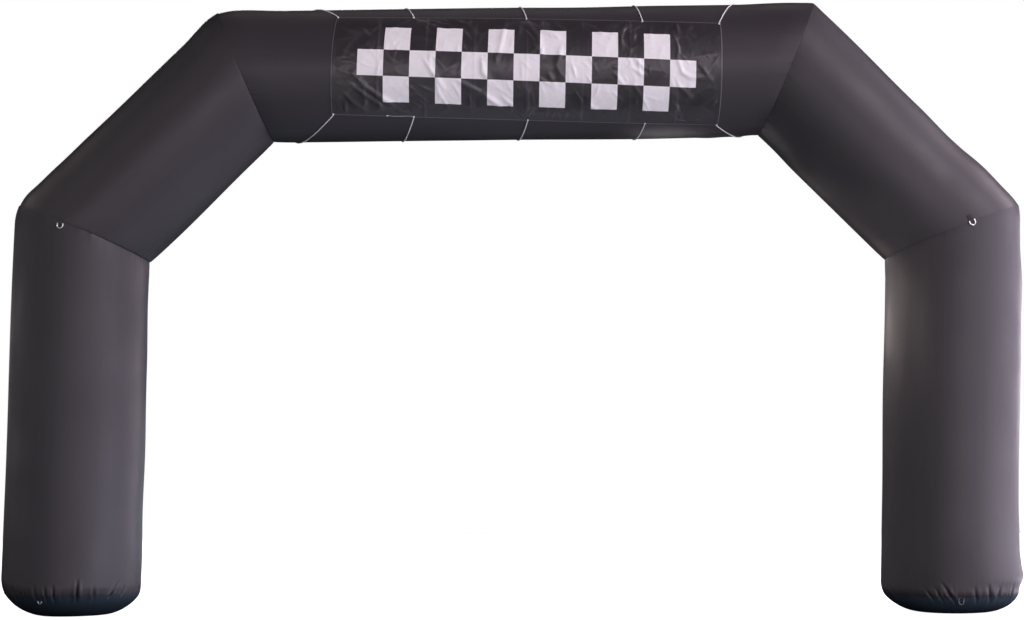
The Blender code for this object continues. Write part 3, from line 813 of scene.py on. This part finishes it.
def headerPoint(distance, degrees, radius):
    # The header's start + axis x distance + spoke(angle) x radius
    axis = along("shoulderLeft", "shoulderRight")
    spoke = spokes(outwards(axis), np.radians(degrees))
    distance, radius = (np.asarray(value)[..., None] for value in (distance, radius))
    return bend("shoulderLeft") + axis * distance + spoke * radius


def headerOff(distance, degrees):
    # Straight out of the header
    return headerPoint(distance, degrees, 1.0) - headerPoint(distance, degrees, 0.0)


def bannerPlace(u, v):
    # Corners blended both ways, the top hem sagging and the left side bowed outwards
    top = [(1.0 - u) * a + u * b for a, b in zip(banner["topLeft"], banner["topRight"])]
    low = [(1.0 - u) * a + u * b for a, b in zip(banner["bottomLeft"], banner["bottomRight"])]
    distance, degrees = ((1.0 - v) * a + v * b for a, b in zip(top, low))
    distance = distance - banner["leftBow"] * np.sin(np.pi * v) * (1.0 - u)
    return distance, degrees + banner["topSag"] * np.sin(np.pi * u) * (1.0 - v)


def edgeDistance(x, y):
    return np.minimum(np.minimum(x, banner["length"] - x), np.minimum(y, banner["width"] - y))


def foldLift(x, y, points, height, wide):
    # Distance to a line of points; the crest is exp(-(distance / width)^2), lower at both ends
    corners = np.array(points) / 1000.0 * (banner["length"], banner["width"])
    starts = runLength(corners)
    best = np.full(x.shape, np.inf)
    share = np.zeros(x.shape)
    for start, stop, run, length in zip(corners[:-1], corners[1:], starts, np.diff(starts)):
        step = (stop - start) / length
        t = np.clip((x - start[0]) * step[0] + (y - start[1]) * step[1], 0.0, length)
        away = np.hypot(x - start[0] - step[0] * t, y - start[1] - step[1] * t)
        share = np.where(away < best, (run + t) / starts[-1], share)
        best = np.minimum(away, best)
    taper = atLeast(0.30, np.sin(np.pi * share) ** 0.8)
    return height * taper * hump(best, wide * (0.8 + 0.4 * share))


def wrinkleNet(x, y, rng, count, wide, height):
    # Bent creases between scattered seeds: the crest is exp(-(second nearest - nearest) / width), high in
    # some patches and low in others
    seeds = rng.uniform((0.0, 0.0), (banner["length"], banner["width"]), (count, 2))
    phase = rng.uniform(0.0, 6.3, 4)
    slant, stretch, bow = 0.25, 1.25, 0.016
    bentX = x + bow * np.sin(y / 0.043 + phase[0]) + slant * y
    bentY = stretch * y + bow * np.sin(x / 0.051 + phase[1])
    seedX, seedY = seeds[:, 0] + slant * seeds[:, 1], stretch * seeds[:, 1]
    away = np.hypot(bentX[..., None] - seedX, bentY[..., None] - seedY)
    nearest = np.partition(away, 1, axis=-1)
    patch = np.sin(x / 0.11 + 2.0 * np.sin(y / 0.17) + phase[2])
    patch = patch * np.sin(y / 0.13 + 1.5 * np.sin(x / 0.21) + phase[3])
    return height * (0.62 + 0.38 * patch) * np.exp(-(nearest[..., 1] - nearest[..., 0]) / wide)


def bannerWrinkles(x, y, rng):
    total = np.zeros(x.shape)
    for net in wrinkles["nets"]:
        total = total + wrinkleNet(x, y, rng, *net)
    # Short loose strokes: exp(-(across / width)^2) on a bowed line, fading to both ends
    for _ in range(wrinkles["strokes"]):
        middle = rng.uniform((0.0, 0.0), (banner["length"], banner["width"]))
        turn = rng.choice(wrinkles["strokeTurns"]) + 0.30 * rng.normal()
        half = rng.uniform(*wrinkles["strokeHalf"])
        run = (x - middle[0]) * np.cos(turn) + (y - middle[1]) * np.sin(turn)
        across = (y - middle[1]) * np.cos(turn) - (x - middle[0]) * np.sin(turn)
        across = across + rng.normal() * 1.6 * run ** 2
        wide = wrinkles["strokeWidth"] * rng.uniform(0.7, 1.4)
        crest = hump(across, wide) * smooth(1.0 - np.abs(run) / half)
        total = total + wrinkles["strokeHeight"] * rng.uniform(0.3, 1.0) * crest
    return total


def bannerLift(x, y):
    # The highest of the folds, plus sharp storage creases and short wrinkles that die out at the hems; also
    # how much painted highlight the crests take there, from 0 to 1 at the sharpest crests
    lift = np.zeros(x.shape)
    for points, height, wide in folds:
        fold = wrinkles["foldShare"] * foldLift(x, y, points, height, wide)
        lift = np.maximum(lift, fold) + wrinkles["overlap"] * np.minimum(lift, fold)
    rng = np.random.default_rng(wrinkles["seed"])
    highlightAndWear = lift / wrinkles["fullHighlightFold"]
    for crease in storage["places"]:
        wander = storage["wander"] * np.sin(9.0 * y + rng.uniform(0.0, 6.0))
        strength = atLeast(0.55, np.sin(7.0 * y + rng.uniform(0.0, 6.0)))
        off = np.abs(x - crease * banner["length"] - wander)
        sharp = strength * np.exp(-(off / storage["half"]) ** 1.4)
        lift = lift + storage["height"] * sharp
        highlightAndWear = highlightAndWear + 0.8 * sharp
    wrinkled = bannerWrinkles(x, y, rng)
    edge = edgeDistance(x, y)
    inside = smooth(edge / wrinkles["fade"])
    lift = lift + inside * (wrinkles["rest"] + wrinkled)
    highlightAndWear = np.clip(highlightAndWear + inside * wrinkled / wrinkles["fullHighlightWrinkle"], 0.0, 1.0)
    return lift * atLeast(0.25, smooth(edge / wrinkles["foldFade"])), highlightAndWear


def hemShares(count, size):
    # Even shares, with close ones at the rounded edge and at the hem's stitching
    hem = banner["hemWidth"]
    close = (0.0, 0.0004, 0.0010, 0.0020, 0.0045, 0.009, 0.014, 0.018, 0.020, 0.022, 0.024, hem, hem + 0.003)
    close = np.array(close) / size
    clear = close[-1] + 0.004 / size
    even = np.linspace(0.0, 1.0, count + 1)
    return np.concatenate([close, even[(even > clear) & (even < 1.0 - clear)], 1.0 - close[::-1]])


def bannerSheet():
    # Two skins, the cloth's face and its back, joined round the edge
    sizes = banner["length"], banner["width"]
    u, v = np.meshgrid(*(hemShares(count, size) for count, size in zip(banner["cells"], sizes)))
    distance, degrees = bannerPlace(u, v)
    x, y = u * banner["length"], v * banner["width"]
    edge = edgeDistance(x, y)
    hem = 1.0 - smooth((edge - banner["hemWidth"]) / banner["hemStep"] + 0.5)
    thick = banner["thickness"] + (banner["hemThickness"] - banner["thickness"]) * hem
    thick = thick - banner["stitchDip"] * hump(edge - banner["stitchLine"], banner["stitchHalf"])
    rounding = quarterRound(edge / banner["edgeRound"])
    lift, highlightAndWear = bannerLift(x, y)
    under = headerRadius(distance, degrees) + banner["clearance"]
    back = under + lift + banner["edgeLift"] * (1.0 - rounding)
    face = back + thick * atLeast(0.25, rounding)
    size = u.size
    number = np.arange(size).reshape(u.shape)
    corners = np.concatenate([headerPoint(distance, degrees, skin).reshape(-1, 3) for skin in (face, back)])
    quads = cells(number.T).reshape(-1, 4)
    rim = np.concatenate([number[0, :], number[1:, -1], number[-1, -2::-1], number[-2:0:-1, 0]])
    ahead = np.roll(rim, -1)
    sides = np.stack([rim, ahead, ahead + size, rim + size], axis=-1)
    faces = np.concatenate([quads, quads[:, ::-1] + size, sides])
    flat = np.stack([x, y], axis=-1).reshape(-1, 2)
    uv = np.concatenate([flat, flat])[faces]
    marks = {"fromEdge": np.tile(edge.ravel(), 2), "highlightAndWear": np.tile(highlightAndWear.ravel(), 2)}
    return addFaces("banner_sheet", corners, [(faces, uv)], marks)


printed = {
    "ground": (0.027, 0.0245, 0.0275), "groundLight": (0.036, 0.033, 0.0365),
    "white": (0.90, 0.89, 0.90), "whiteDull": (0.82, 0.81, 0.83),
    # painted highlight on the wrinkles' crests
    "crestHighlight": (0.110, 0.103, 0.114),
    # painted shade in the hollows between the threads
    "weaveHollowShade": (0.012, 0.011, 0.013),
    "edgeLine": (0.115, 0.11, 0.118),
    "edgeLineReach": (0.0055, 0.0072),
    "thread": (0.060, 0.056, 0.062),
    "threads": 1100.0,
    "stitches": {"spacing": 0.005, "place": 0.022, "wide": (0.0005, 0.0010), "limit": -0.2},
}


def chequer(tree):
    # 1 on every other square of the printed field, and 0 outside it
    uv, *axes = surface(tree)
    size, start = banner["checkSize"], banner["checkFrom"]
    shift = (-start[0], -start[1], 0.5 * size)
    shifted = put("ShaderNodeMapping", {"Vector": uv, "Location": shift}).outputs[0]
    ink = put("ShaderNodeTexChecker", {"Vector": shifted, "Scale": 1.0 / size}).outputs["Fac"]
    for axis, low, count in zip(axes, start, banner["checkCount"]):
        ink = times(ink, maths("GREATER_THAN", axis, low))
        ink = times(ink, maths("LESS_THAN", axis, low + count * size))
    return ink


def printedCloth(name):
    # Satin cloth with a light edge line, a hem's stitches, a printed chequer and fine crush marks;
    # painted shade between the threads and a painted highlight on the wrinkles' crests
    material, tree, shader = newMaterial(
        name, Specular_IOR_Level=0.55, Sheen_Weight=0.05, Sheen_Roughness=0.4)
    uv, u, v = surface(tree)
    edge = mark(tree, "fromEdge")
    ink = chequer(tree)
    weave = weaveHeight(tree, printed["threads"])
    stitch = stitchRow(maths("ADD", u, v), edge, printed["stitches"])
    dulled = ramp(noise(uv, 9.0, 5.0), 0.3, 0.75)
    white = layered(printed["white"], (dulled, printed["whiteDull"]))
    cloth = layered(
        printed["ground"],
        (ramp(noise(uv, 2.6, 5.0), 0.3, 0.7), printed["groundLight"]),
        # painted highlight on the wrinkles' crests
        (ramp(mark(tree, "highlightAndWear"), 0.15, 0.85, 0.0, 0.45), printed["crestHighlight"]),
        (ink, white),
        # painted shade between the threads
        (ramp(weave, 0.0, 0.9, 0.10, 0.0), printed["weaveHollowShade"]),
        (ramp(edge, *printed["edgeLineReach"], 1.0, 0.0), printed["edgeLine"]),
        (times(stitch, 0.6), printed["thread"]))
    gloss = ramp(noise(uv, 5.0, 4.0), 0.3, 0.7, 0.31, 0.40)
    gloss = maths("ADD", gloss, times(ink, 0.28))
    height = maths("ADD", times(weave, 0.15), stitch)
    crush = noise(uv, (16.0, 9.0), 5.0, 0.6)
    linkShader(shader, cloth, gloss, (height, 0.0004, 0.3), (crush, 0.004, 0.60))
    return material


sheet = finished(bannerSheet(), printedCloth("bannerCloth"), "banner")
print("banner made")

lacing = {
    "radius": 0.004, "standOff": 0.0008, "columns": 12, "rows": 360,
    "knotSize": 0.0048, "knotWire": 0.0022, "tailLength": 0.010, "knotInset": 0.010,
    "cords": {
        # share along the top hem, slope there, share along the bottom hem, slope there
        "cord_1": (0.004, -0.80, 0.004, -0.88),
        "cord_2": (0.202, -0.31, 0.211, -0.32),
        "cord_3": (0.496, -0.17, 0.505, -0.23),
        "cord_4": (0.797, -0.14, 0.809, -0.20),
        "cord_5": (0.996, 0.42, 0.996, 0.84),
    },
}
slack = {
    "cord": "cord_2", "reach": 0.205, "down": 0.988, "radius": 0.0008, "lift": 0.0022,
    "stopper": 0.0042, "stopperAt": 0.955, "stopperHalf": 0.022,
}


def hermite(start, startSlope, stop, stopSlope, t):
    return ((2.0 * t ** 3 - 3.0 * t ** 2 + 1.0) * start + (t ** 3 - 2.0 * t ** 2 + t) * startSlope
            + (3.0 * t ** 2 - 2.0 * t ** 3) * stop + (t ** 3 - t ** 2) * stopSlope)


def hemClearance(slope):
    slant = lacing["radius"] * abs(slope) / np.hypot(1.0, slope)
    return np.degrees((lacing["standOff"] + slant) / tube["radius"])


def cordPath(topShare, topSlope, lowShare, lowSlope):
    # From the top hem over the header, down its back and up to the bottom hem, one cord radius off the skin
    topAlong, topAngle = bannerPlace(topShare, 0.0)
    lowAlong, lowAngle = bannerPlace(lowShare, 1.0)
    first = topAngle + hemClearance(topSlope)
    last = lowAngle + 360.0 - hemClearance(lowSlope)
    length = np.radians(last - first) * tube["radius"]
    t = np.linspace(0.0, 1.0, lacing["rows"])
    degrees = first + (last - first) * t
    distance = hermite(topAlong, topSlope * length, lowAlong, -lowSlope * length, t)
    radius = headerRadius(distance, degrees) + lacing["radius"] + tube["gap"]
    return headerPoint(distance, degrees, radius), headerOff(distance, degrees)


def onHem(share, v, lift):
    # Distance, angle and radius of a spot above the banner's hem
    distance, degrees = bannerPlace(share, v)
    face = headerRadius(distance, degrees) + banner["clearance"] + banner["hemThickness"]
    return distance, degrees, face + lift


def roundedEnd(run, reach):
    # 1, and falling to nearly 0 in a quarter circle over the last reach of the run
    return np.sqrt(1.0 - np.clip((run - 1.0 + reach) / reach, 0.0, 0.98) ** 2)


def knot(name, share, v, seed):
    # A trefoil of the same cord: (sin t + 2 sin 2t, cos t - 2 cos 2t, -sin 3t), flattened on the hem
    wire, size = lacing["knotWire"], lacing["knotSize"] / 3.0
    distance, degrees, radius = onHem(share, v, wire * 1.7)
    spot = headerPoint(distance, degrees, radius)
    side, off = along("shoulderLeft", "shoulderRight"), headerOff(distance, degrees)
    down = np.cross(side, off)
    t = evenAngles(56)[:, None]
    x, y = (np.sin(t) + 2.0 * np.sin(2.0 * t)) * size * 1.25, (np.cos(t) - 2.0 * np.cos(2.0 * t)) * size
    path = spot + x * side + y * down - np.sin(3.0 * t) * wire * 0.7 * off
    parts = [sweep(name, path, np.broadcast_to(off, path.shape), wire, 10, closedPath=True)]
    rng = np.random.default_rng(seed)
    run = np.linspace(0.0, 1.0, 16)
    for way in (-1.0, 1.0):
        # Two short ends point down and apart
        reach = lacing["tailLength"] * rng.uniform(0.8, 1.2)
        slope = rng.uniform(0.15, 0.55)
        line = spot + (way * slope * side + down) * reach * run[:, None]
        line = line - off * (wire * 0.75 * smooth(run * 3.0))[:, None]
        taper = wire * 0.85 * roundedEnd(run, 0.12)
        parts.append(sweep(name + "end", line, np.broadcast_to(off, line.shape), taper, 10))
    return parts


def slackTail(share):
    # The slack of one cord lies along the bottom hem and ends in a stopper knot
    run = np.linspace(0.0, 1.0, 60)
    shares = share - run * slack["reach"] / banner["length"]
    distance, degrees, radius = onHem(shares, slack["down"], slack["lift"])
    off = headerOff(distance, degrees)
    size = slack["radius"] + slack["stopper"] * hump(run - slack["stopperAt"], slack["stopperHalf"])
    size = size * roundedEnd(run, 0.03)
    path = headerPoint(distance, degrees + 0.25 * np.sin(run * 7.0), radius)
    return sweep("slackTail", path + off * (size - slack["radius"])[:, None], off, size, 10)


def braidedCord(name):
    # Plaited cord: two sets of strands cross at an angle, lighter where they lie on top;
    # painted highlight on the strands and painted shade between them
    material, tree, shader = newMaterial(name, Specular_IOR_Level=0.3, Sheen_Weight=0.15, Sheen_Roughness=0.5)
    uv, u, v = surface(tree)
    strandsRound, strandLength = 6.0, 0.0045
    turn = times(u, strandsRound)
    ways = [maths("ADD", turn, times(v, way / strandLength)) for way in (-1.0, 1.0)]
    strands = maths("MAXIMUM", *(ridges(way, 1.0) for way in ways))
    fuzz = noise(uv, (9.0, 260.0), 4.0)
    cloth = layered(
        (0.55, 0.55, 0.60),
        # painted highlight on the strands' tops, painted shade between them
        (ramp(strands, 0.35, 0.95), (0.93, 0.92, 0.95)),
        (ramp(fuzz, 0.35, 0.75, 0.0, 0.30), (0.72, 0.71, 0.76)))
    gloss = ramp(fuzz, 0.3, 0.7, 0.55, 0.72)
    linkShader(shader, cloth, gloss, (strands, 0.0010, 0.6))
    return material


lacingCord = braidedCord("lacingCord")
for index, (name, cord) in enumerate(lacing["cords"].items()):
    path, off = cordPath(*cord)
    parts = [sweep(name + "_lace", path, off, lacing["radius"], lacing["columns"])]
    parts += knot(name + "_knotTop", cord[0], lacing["knotInset"], 60 + index)
    parts += knot(name + "_knotLow", cord[2], 1.0 - lacing["knotInset"], 80 + index)
    if name == slack["cord"]:
        parts.append(slackTail(cord[2]))
    finished(joined(name + "_lace", parts), lacingCord, name)
print("lacing made")

ringShapes = {
    "dee": {"width": 0.041, "depth": 0.034, "wire": 0.0044, "tabLength": 0.046},
    "peg": {"width": 0.035, "depth": 0.040, "wire": 0.0034, "tabLength": 0.024},
    "bead": {"width": 0.029, "depth": 0.026, "wire": 0.0040, "tabLength": 0.024},
}
tabShape = {"thickness": 0.0018, "play": 0.0005, "gap": 0.0003}
ringSeats = {
    # where each tab is sewn: its foot on the skin; which way it faces, in degrees from the front and above
    # level; the bar's turn from level; how far the ring leans out for each metre up
    "elbow_left": {"shape": "dee", "at": (-3.32756, -0.49658, 2.852),
                   "facing": (-4.32, 1.69), "turn": 7.87, "lean": 0.0298},
    "elbow_right": {"shape": "dee", "at": (3.3385, -0.49858, 2.84599),
                    "facing": (0.70, -0.27), "turn": -25.0, "lean": -0.0052},
    "base_left": {"shape": "bead", "at": (-3.4035, -0.44929, 0.13896),
                  "facing": (-11.99, -29.80), "turn": 2.03, "lean": -0.5731},
    "base_right": {"shape": "peg", "at": (3.16813, -0.47157, 0.1236),
                   "facing": (-4.45, -25.18), "turn": 7.90, "lean": -0.4745},
}


def seated(seat, points):
    # Local x along the bar, y out of the skin, z up the tab
    plan, rise, turn = np.radians((*seat["facing"], seat["turn"]))
    out = np.array([np.sin(plan) * np.cos(rise), -np.cos(plan) * np.cos(rise), np.sin(rise)])
    level = np.array([-np.cos(plan), -np.sin(plan), 0.0])
    bar = np.cos(turn) * level + np.sin(turn) * np.cross(level, out)
    return np.array(seat["at"]) + points @ np.array([bar, out, np.cross(bar, out)])


def seatOff(seat):
    # Straight out of the skin
    return seated(seat, np.array([0.0, 1.0, 0.0])) - seat["at"]


def barStandOff(shape):
    return tabShape["gap"] + tabShape["thickness"] + tabShape["play"] + shape["wire"]


def ringWire(name, seat):
    # A straight bar and a half-round bow, resampled evenly and softened at the bends
    shape = ringShapes[seat["shape"]]
    half = shape["width"] / 2.0
    barPoints, ringPoints, softening = 12, 160, 5
    bow = np.linspace(0.0, np.pi, 40)
    x = np.concatenate([np.linspace(-half, half, barPoints), half * np.cos(bow), [-half]])
    z = np.concatenate([np.zeros(barPoints), half - shape["depth"] - half * np.sin(bow), [0.0]])
    run = runLength(np.column_stack([x, z]))
    even = np.linspace(0.0, run[-1], ringPoints, endpoint=False)
    x, z = (np.interp(even, run, c) for c in (x, z))
    kernel = np.ones(softening) / softening
    x, z = (np.convolve(np.concatenate([c[-2:], c, c[:2]]), kernel, "valid") for c in (x, z))
    path = seated(seat, np.column_stack([x, barStandOff(shape) + seat["lean"] * z, z]))
    return sweep(name, path, np.broadcast_to(seatOff(seat), path.shape), shape["wire"], 16, closedPath=True)


def signedPower(value, power):
    return np.sign(value) * np.abs(value) ** power


def tabStrip(name, seat):
    # A webbing strip: up the skin, round the bar and up again over itself; its edges are rounded
    shape = ringShapes[seat["shape"]]
    thick, hole = tabShape["thickness"], shape["wire"] + tabShape["play"]
    standOff = barStandOff(shape)
    loop = hole + thick / 2.0
    frontY = 0.5 * thick - hole
    meeting = np.arccos(np.clip(frontY / loop, -1.0, 1.0))
    turn = np.linspace(-np.pi, meeting, 48)
    tailRows = 16
    back = np.linspace(shape["tabLength"], 0.002, tailRows)
    over = np.linspace(loop * np.sin(meeting) + 0.001, shape["tabLength"], tailRows)
    y = np.concatenate([np.full(tailRows, -loop), loop * np.cos(turn), np.full(tailRows, frontY)])
    z = np.concatenate([back, loop * np.sin(turn), over])
    centre = np.column_stack([np.zeros_like(y), y + standOff, z])
    across = np.array([1.0, 0.0, 0.0])
    normal = np.cross(unit(np.gradient(centre, axis=0)), across)
    half = shape["width"] / 2.0 - shape["wire"] - 0.002
    around = evenAngles(36)
    # A flat oval: x = half cos^(1/4), y = thickness sin^(1/2), signs kept
    wide = half * signedPower(np.cos(around), 0.25)
    deep = 0.47 * thick * signedPower(np.sin(around), 0.5)
    points = centre[:, None] + wide[None, :, None] * across + deep[None, :, None] * normal[:, None]
    uv = uvGrid(np.append(wide, wide[0]), runLength(centre)[:, None])
    return addSurface(name, seated(seat, points), uv), half, frontY + 0.5 * thick + standOff


def stitches(name, seat, half, face):
    # A sewn box with a cross: each stitch is a small lens, half sunk into the tab
    length, spacing, radius, side = 0.0034, 0.0042, 0.00055, half - 0.004
    low, high = 0.010, ringShapes[seat["shape"]]["tabLength"] - 0.004
    corners = np.array([(-side, low), (side, low), (side, high), (-side, high)])
    t = np.linspace(0.0, 1.0, 6)
    swell = radius * np.sin(np.pi * np.clip(t, 0.04, 0.96)) ** 0.6
    parts = []
    for first, second in ((0, 1), (1, 2), (2, 3), (3, 0), (0, 2), (1, 3)):
        line = corners[second] - corners[first]
        run = (t[:, None] - 0.5) * length * unit(line)
        count = max(2, int(np.linalg.norm(line) / spacing))
        for middle in corners[first] + (np.arange(count)[:, None] + 0.5) / count * line:
            path = seated(seat, np.insert(middle + run, 1, face, axis=1))
            sideways = np.cross(path[-1] - path[0], seatOff(seat))
            parts.append(sweep(name, path, np.broadcast_to(sideways, path.shape), swell, 6))
    return joined(name, parts)


def wornSteel(name, bright, dull, smoothest, roughest):
    material, tree, shader = newMaterial(name, Metallic=1.0)
    place = objectPlace(tree)
    highlightAndWear = noise(place, 160.0, 5.0)
    metal = layered(bright, (ramp(highlightAndWear, 0.35, 0.70), dull))
    gloss = ramp(highlightAndWear, 0.3, 0.7, smoothest, roughest)
    linkShader(shader, metal, gloss, (noise(place, 700.0), 0.0002, 0.2))
    return material


def ribbedWebbing(name):
    # Flat webbing: ribs across it in a herringbone, with a painted highlight on the ribs' crests
    material, tree, shader = newMaterial(name, Roughness=0.75, Specular_IOR_Level=0.25, Sheen_Weight=0.1)
    uv, u, v = surface(tree)
    ribs = ridges(maths("ADD", v, maths("PINGPONG", u, 0.004)), 0.0011)
    fluff = ramp(noise(uv, (900.0, 500.0)), 0.4, 0.8, 0.0, 0.4)
    # painted highlight on the ribs' crests, painted shade between them
    cloth = layered((0.016, 0.015, 0.017), (ribs, (0.040, 0.037, 0.041)), (fluff, (0.060, 0.056, 0.060)))
    linkShader(shader, cloth, None, (ribs, 0.0003, 0.5))
    return material


def sewingThread(name):
    material, tree, shader = newMaterial(name, Roughness=0.6, Sheen_Weight=0.2)
    fibres = noise(objectPlace(tree), 900.0)
    linkShader(shader, layered((0.05, 0.047, 0.052), (fibres, (0.10, 0.095, 0.10))), None)
    return material


ringSteel = {
    "dee": wornSteel("polishedSteel", (0.95, 0.94, 0.95), (0.78, 0.77, 0.78), 0.30, 0.45),
    "peg": wornSteel("dulledSteel", (0.26, 0.25, 0.27), (0.15, 0.145, 0.16), 0.45, 0.60),
    "bead": wornSteel("greySteel", (0.58, 0.60, 0.62), (0.42, 0.44, 0.46), 0.40, 0.55),
}
webbing = ribbedWebbing("tabWebbing")
thread = sewingThread("tabThread")
for name, seat in ringSeats.items():
    wire = ringWire("ring_" + name + "_wire", seat)
    finished(wire, ringSteel[seat["shape"]], "ring_" + name)
    strip, half, face = tabStrip("tab_" + name + "_strip", seat)
    finished(strip, webbing, "tab_" + name)
    finished(stitches("tab_" + name + "_stitches", seat, half, face), thread)
print("rings and tabs made")


studio = {"floorSize": 60.0, "floorColour": (0.80, 0.80, 0.80, 1.0), "backdrop": (1.0, 1.0, 1.0, 1.0)}
skyRings = {
    # level circles of lights round the arch: radius, height, and the width and height of each light
    "low": (26.0, 2.2, 12, 3.6), "edge": (25.96, 3.56, 12, 3.6),
    "middle": (24.0, 8.0, 10, 4.5), "upper": (17.32, 12.2, 9, 6),
}


def sky(ring, degrees):
    # Position, aim, width and height of a light on a circle, degrees from the front, + to the right
    radius, height, *size = skyRings[ring]
    turn = np.radians(degrees)
    return (radius * np.sin(turn), -radius * np.cos(turn), height), (0, 0, 2.2), *size


lights = {
    # position, aim, width, height, power, colour
    "skyBackLeft": (*sky("edge", -135), 120, (1.00, 0.87, 0.90)),
    "skyLeftEdge": (*sky("edge", -100), 252.8, (0.95, 0.89, 1.00)),
    "skyLeft": (*sky("low", -70), 298.8, (0.90, 0.90, 1.00)),
    "skyLeftFront": (*sky("low", -40), 221.1, (0.83, 0.92, 1.00)),
    "horizonLeft": (*sky("low", -13), 428.1, (1.00, 0.93, 0.99)),
    "horizonRight": (*sky("low", 13), 923.2, (1.00, 0.88, 0.96)),
    "skyRightFront": (*sky("low", 40), 623.2, (0.89, 0.84, 1.00)),
    "skyRight": (*sky("low", 70), 1241, (0.91, 0.83, 1.00)),
    "skyRightEdge": (*sky("edge", 100), 1145, (0.95, 0.85, 1.00)),
    "skyBackRight": (*sky("edge", 135), 1179, (1.00, 0.87, 1.00)),
    "upperLeftEdge": (*sky("upper", -100), 219.5, (1.00, 0.88, 0.88)),
    "upperLeft": (*sky("upper", -50), 205.3, (1.00, 0.92, 0.85)),
    "upperRight": (*sky("upper", 50), 1910, (1.00, 0.86, 0.94)),
    "upperRightEdge": (*sky("upper", 100), 1062, (1.00, 0.85, 0.95)),
    "lowSideLeft": ((0.2, 2.5, 0.8), (-3.2, 0, 0.7), 2, 1.2, 7.533, (0.77, 0.85, 1.00)),
    "glowNear": ((2.1, 0.75, 2.3), (3, -0.15, 2.2), 0.4, 0.5, 0.4481, (1.00, 0.87, 0.82)),
    "glowClose": ((2.45, 0.55, 2.2), (3, -0.1, 2.1), 0.25, 0.4, 0.5579, (1.00, 0.82, 0.78)),
    "groundFront": ((0, -5.5, 0.004), (0, -5.499, 4), 14, 3, 89.36, (0.96, 0.95, 1.00)),
    "groundRight": ((6.3, 0, 0.004), (6.3, 0.001, 4), 4, 6, 395.1, (0.90, 0.85, 1.00)),
    "groundMiddle": ((0, 0, 0.004), (0, 0.001, 4), 4.6, 2.4, 20.43, (0.83, 0.87, 1.00)),
    "lowInside": ((0.4, 0.4, 0.22), (-2.9, -0.1, 0.22), 2, 0.4, 8.952, (0.61, 0.77, 1.00)),
    "lowFrontLeft": ((-0.6, -2, 0.15), (-3.1, -0.2, 0.22), 1.5, 0.3, 15.81, (0.80, 0.80, 1.00)),
    "midRightFront": (*sky("middle", 20), 247.4, (1.00, 0.90, 0.97)),
    "midRightSide": (*sky("middle", 70), 534.9, (0.83, 0.76, 1.00)),
    "midRightEdge": (*sky("middle", 95), 403.8, (0.86, 0.72, 1.00)),
    "behind": ((-4, 24, 13), (0, 0, 2.6), 14, 6, 2746, (1.00, 0.93, 0.95)),
    "topHigh": ((0, 9, 21), (0, 0, 4.2), 14, 5, 140.4, (1.00, 0.90, 0.90)),
    "rimLeftLow": ((-2.3, 2.2, 0.9), (-2.9, 0, 0.9), 0.8, 1.4, 3.244, (0.64, 0.88, 1.00)),
    "glowBehind": ((1.3, 0.5, 2.35), (3, -0.1, 0.4), 0.5, 0.8, 6.6, (1.00, 0.84, 0.82)),
    "glowFar": ((1.5, 1.5, 2.55), (3, -0.1, 0.6), 0.6, 0.7, 2.48, (1.00, 0.86, 0.84)),
    "glowInside": ((1.9, -0.8, 2.3), (3.2, -0.3, 1.2), 0.6, 0.6, 2.775, (1.00, 0.87, 0.80)),
    "glowHeader": ((1.24, 0.66, 3.05), (1.24, -0.15, 3.62), 0.35, 0.15, 1.15, (1.00, 0.95, 1.00)),
    "glowUnder": ((2.3, -0.15, 2.4), (3.2, -0.2, 1.3), 0.4, 0.5, 1.148, (1.00, 0.81, 0.71)),
}


def addFloor():
    # White paper that only the camera sees, so that the lights alone shade the arch
    half = studio["floorSize"] / 2.0
    mesh = bpy.data.meshes.new("studioFloor")
    corners = [(-half, -half, 0.0), (half, -half, 0.0), (half, half, 0.0), (-half, half, 0.0)]
    mesh.from_pydata(corners, [], [(0, 1, 2, 3)])
    material, _, shader = newMaterial("studioPaper", Roughness=0.9, Specular_IOR_Level=0.1)
    shader.inputs["Emission Strength"].default_value = 1.0
    shader.inputs["Base Color"].default_value = studio["floorColour"]
    shader.inputs["Emission Color"].default_value = studio["backdrop"]
    mesh.materials.append(material)
    floor = newObject("studioFloor", mesh)
    floor.visible_diffuse = False
    floor.visible_glossy = False


def addLights():
    for name, (position, aim, width, height, power, colour) in lights.items():
        light = bpy.data.lights.new(name, "AREA")
        light.shape = "RECTANGLE"
        light.size, light.size_y = width, height
        light.energy = power
        light.color = colour
        back = unit(np.array(position) - np.array(aim))
        side = unit(np.cross([0.0, 0.0, 1.0], back))
        lamp = newObject(name, light)
        turned(lamp, (side, np.cross(back, side), back), position)
        lamp.visible_camera = False


def addWorld():
    # The backdrop's colour behind the arch, seen by the camera alone
    world = bpy.data.worlds.new("whiteBackdrop")
    world.use_nodes = True
    backdrop = world.node_tree.nodes["Background"].inputs
    backdrop["Color"].default_value = studio["backdrop"]
    backdrop["Strength"].default_value = 1.0
    world.cycles_visibility.diffuse = False
    world.cycles_visibility.glossy = False
    scene.world = world


addFloor()
addLights()
addWorld()
scene.view_settings.view_transform = "Standard"
print("floor and lights in")
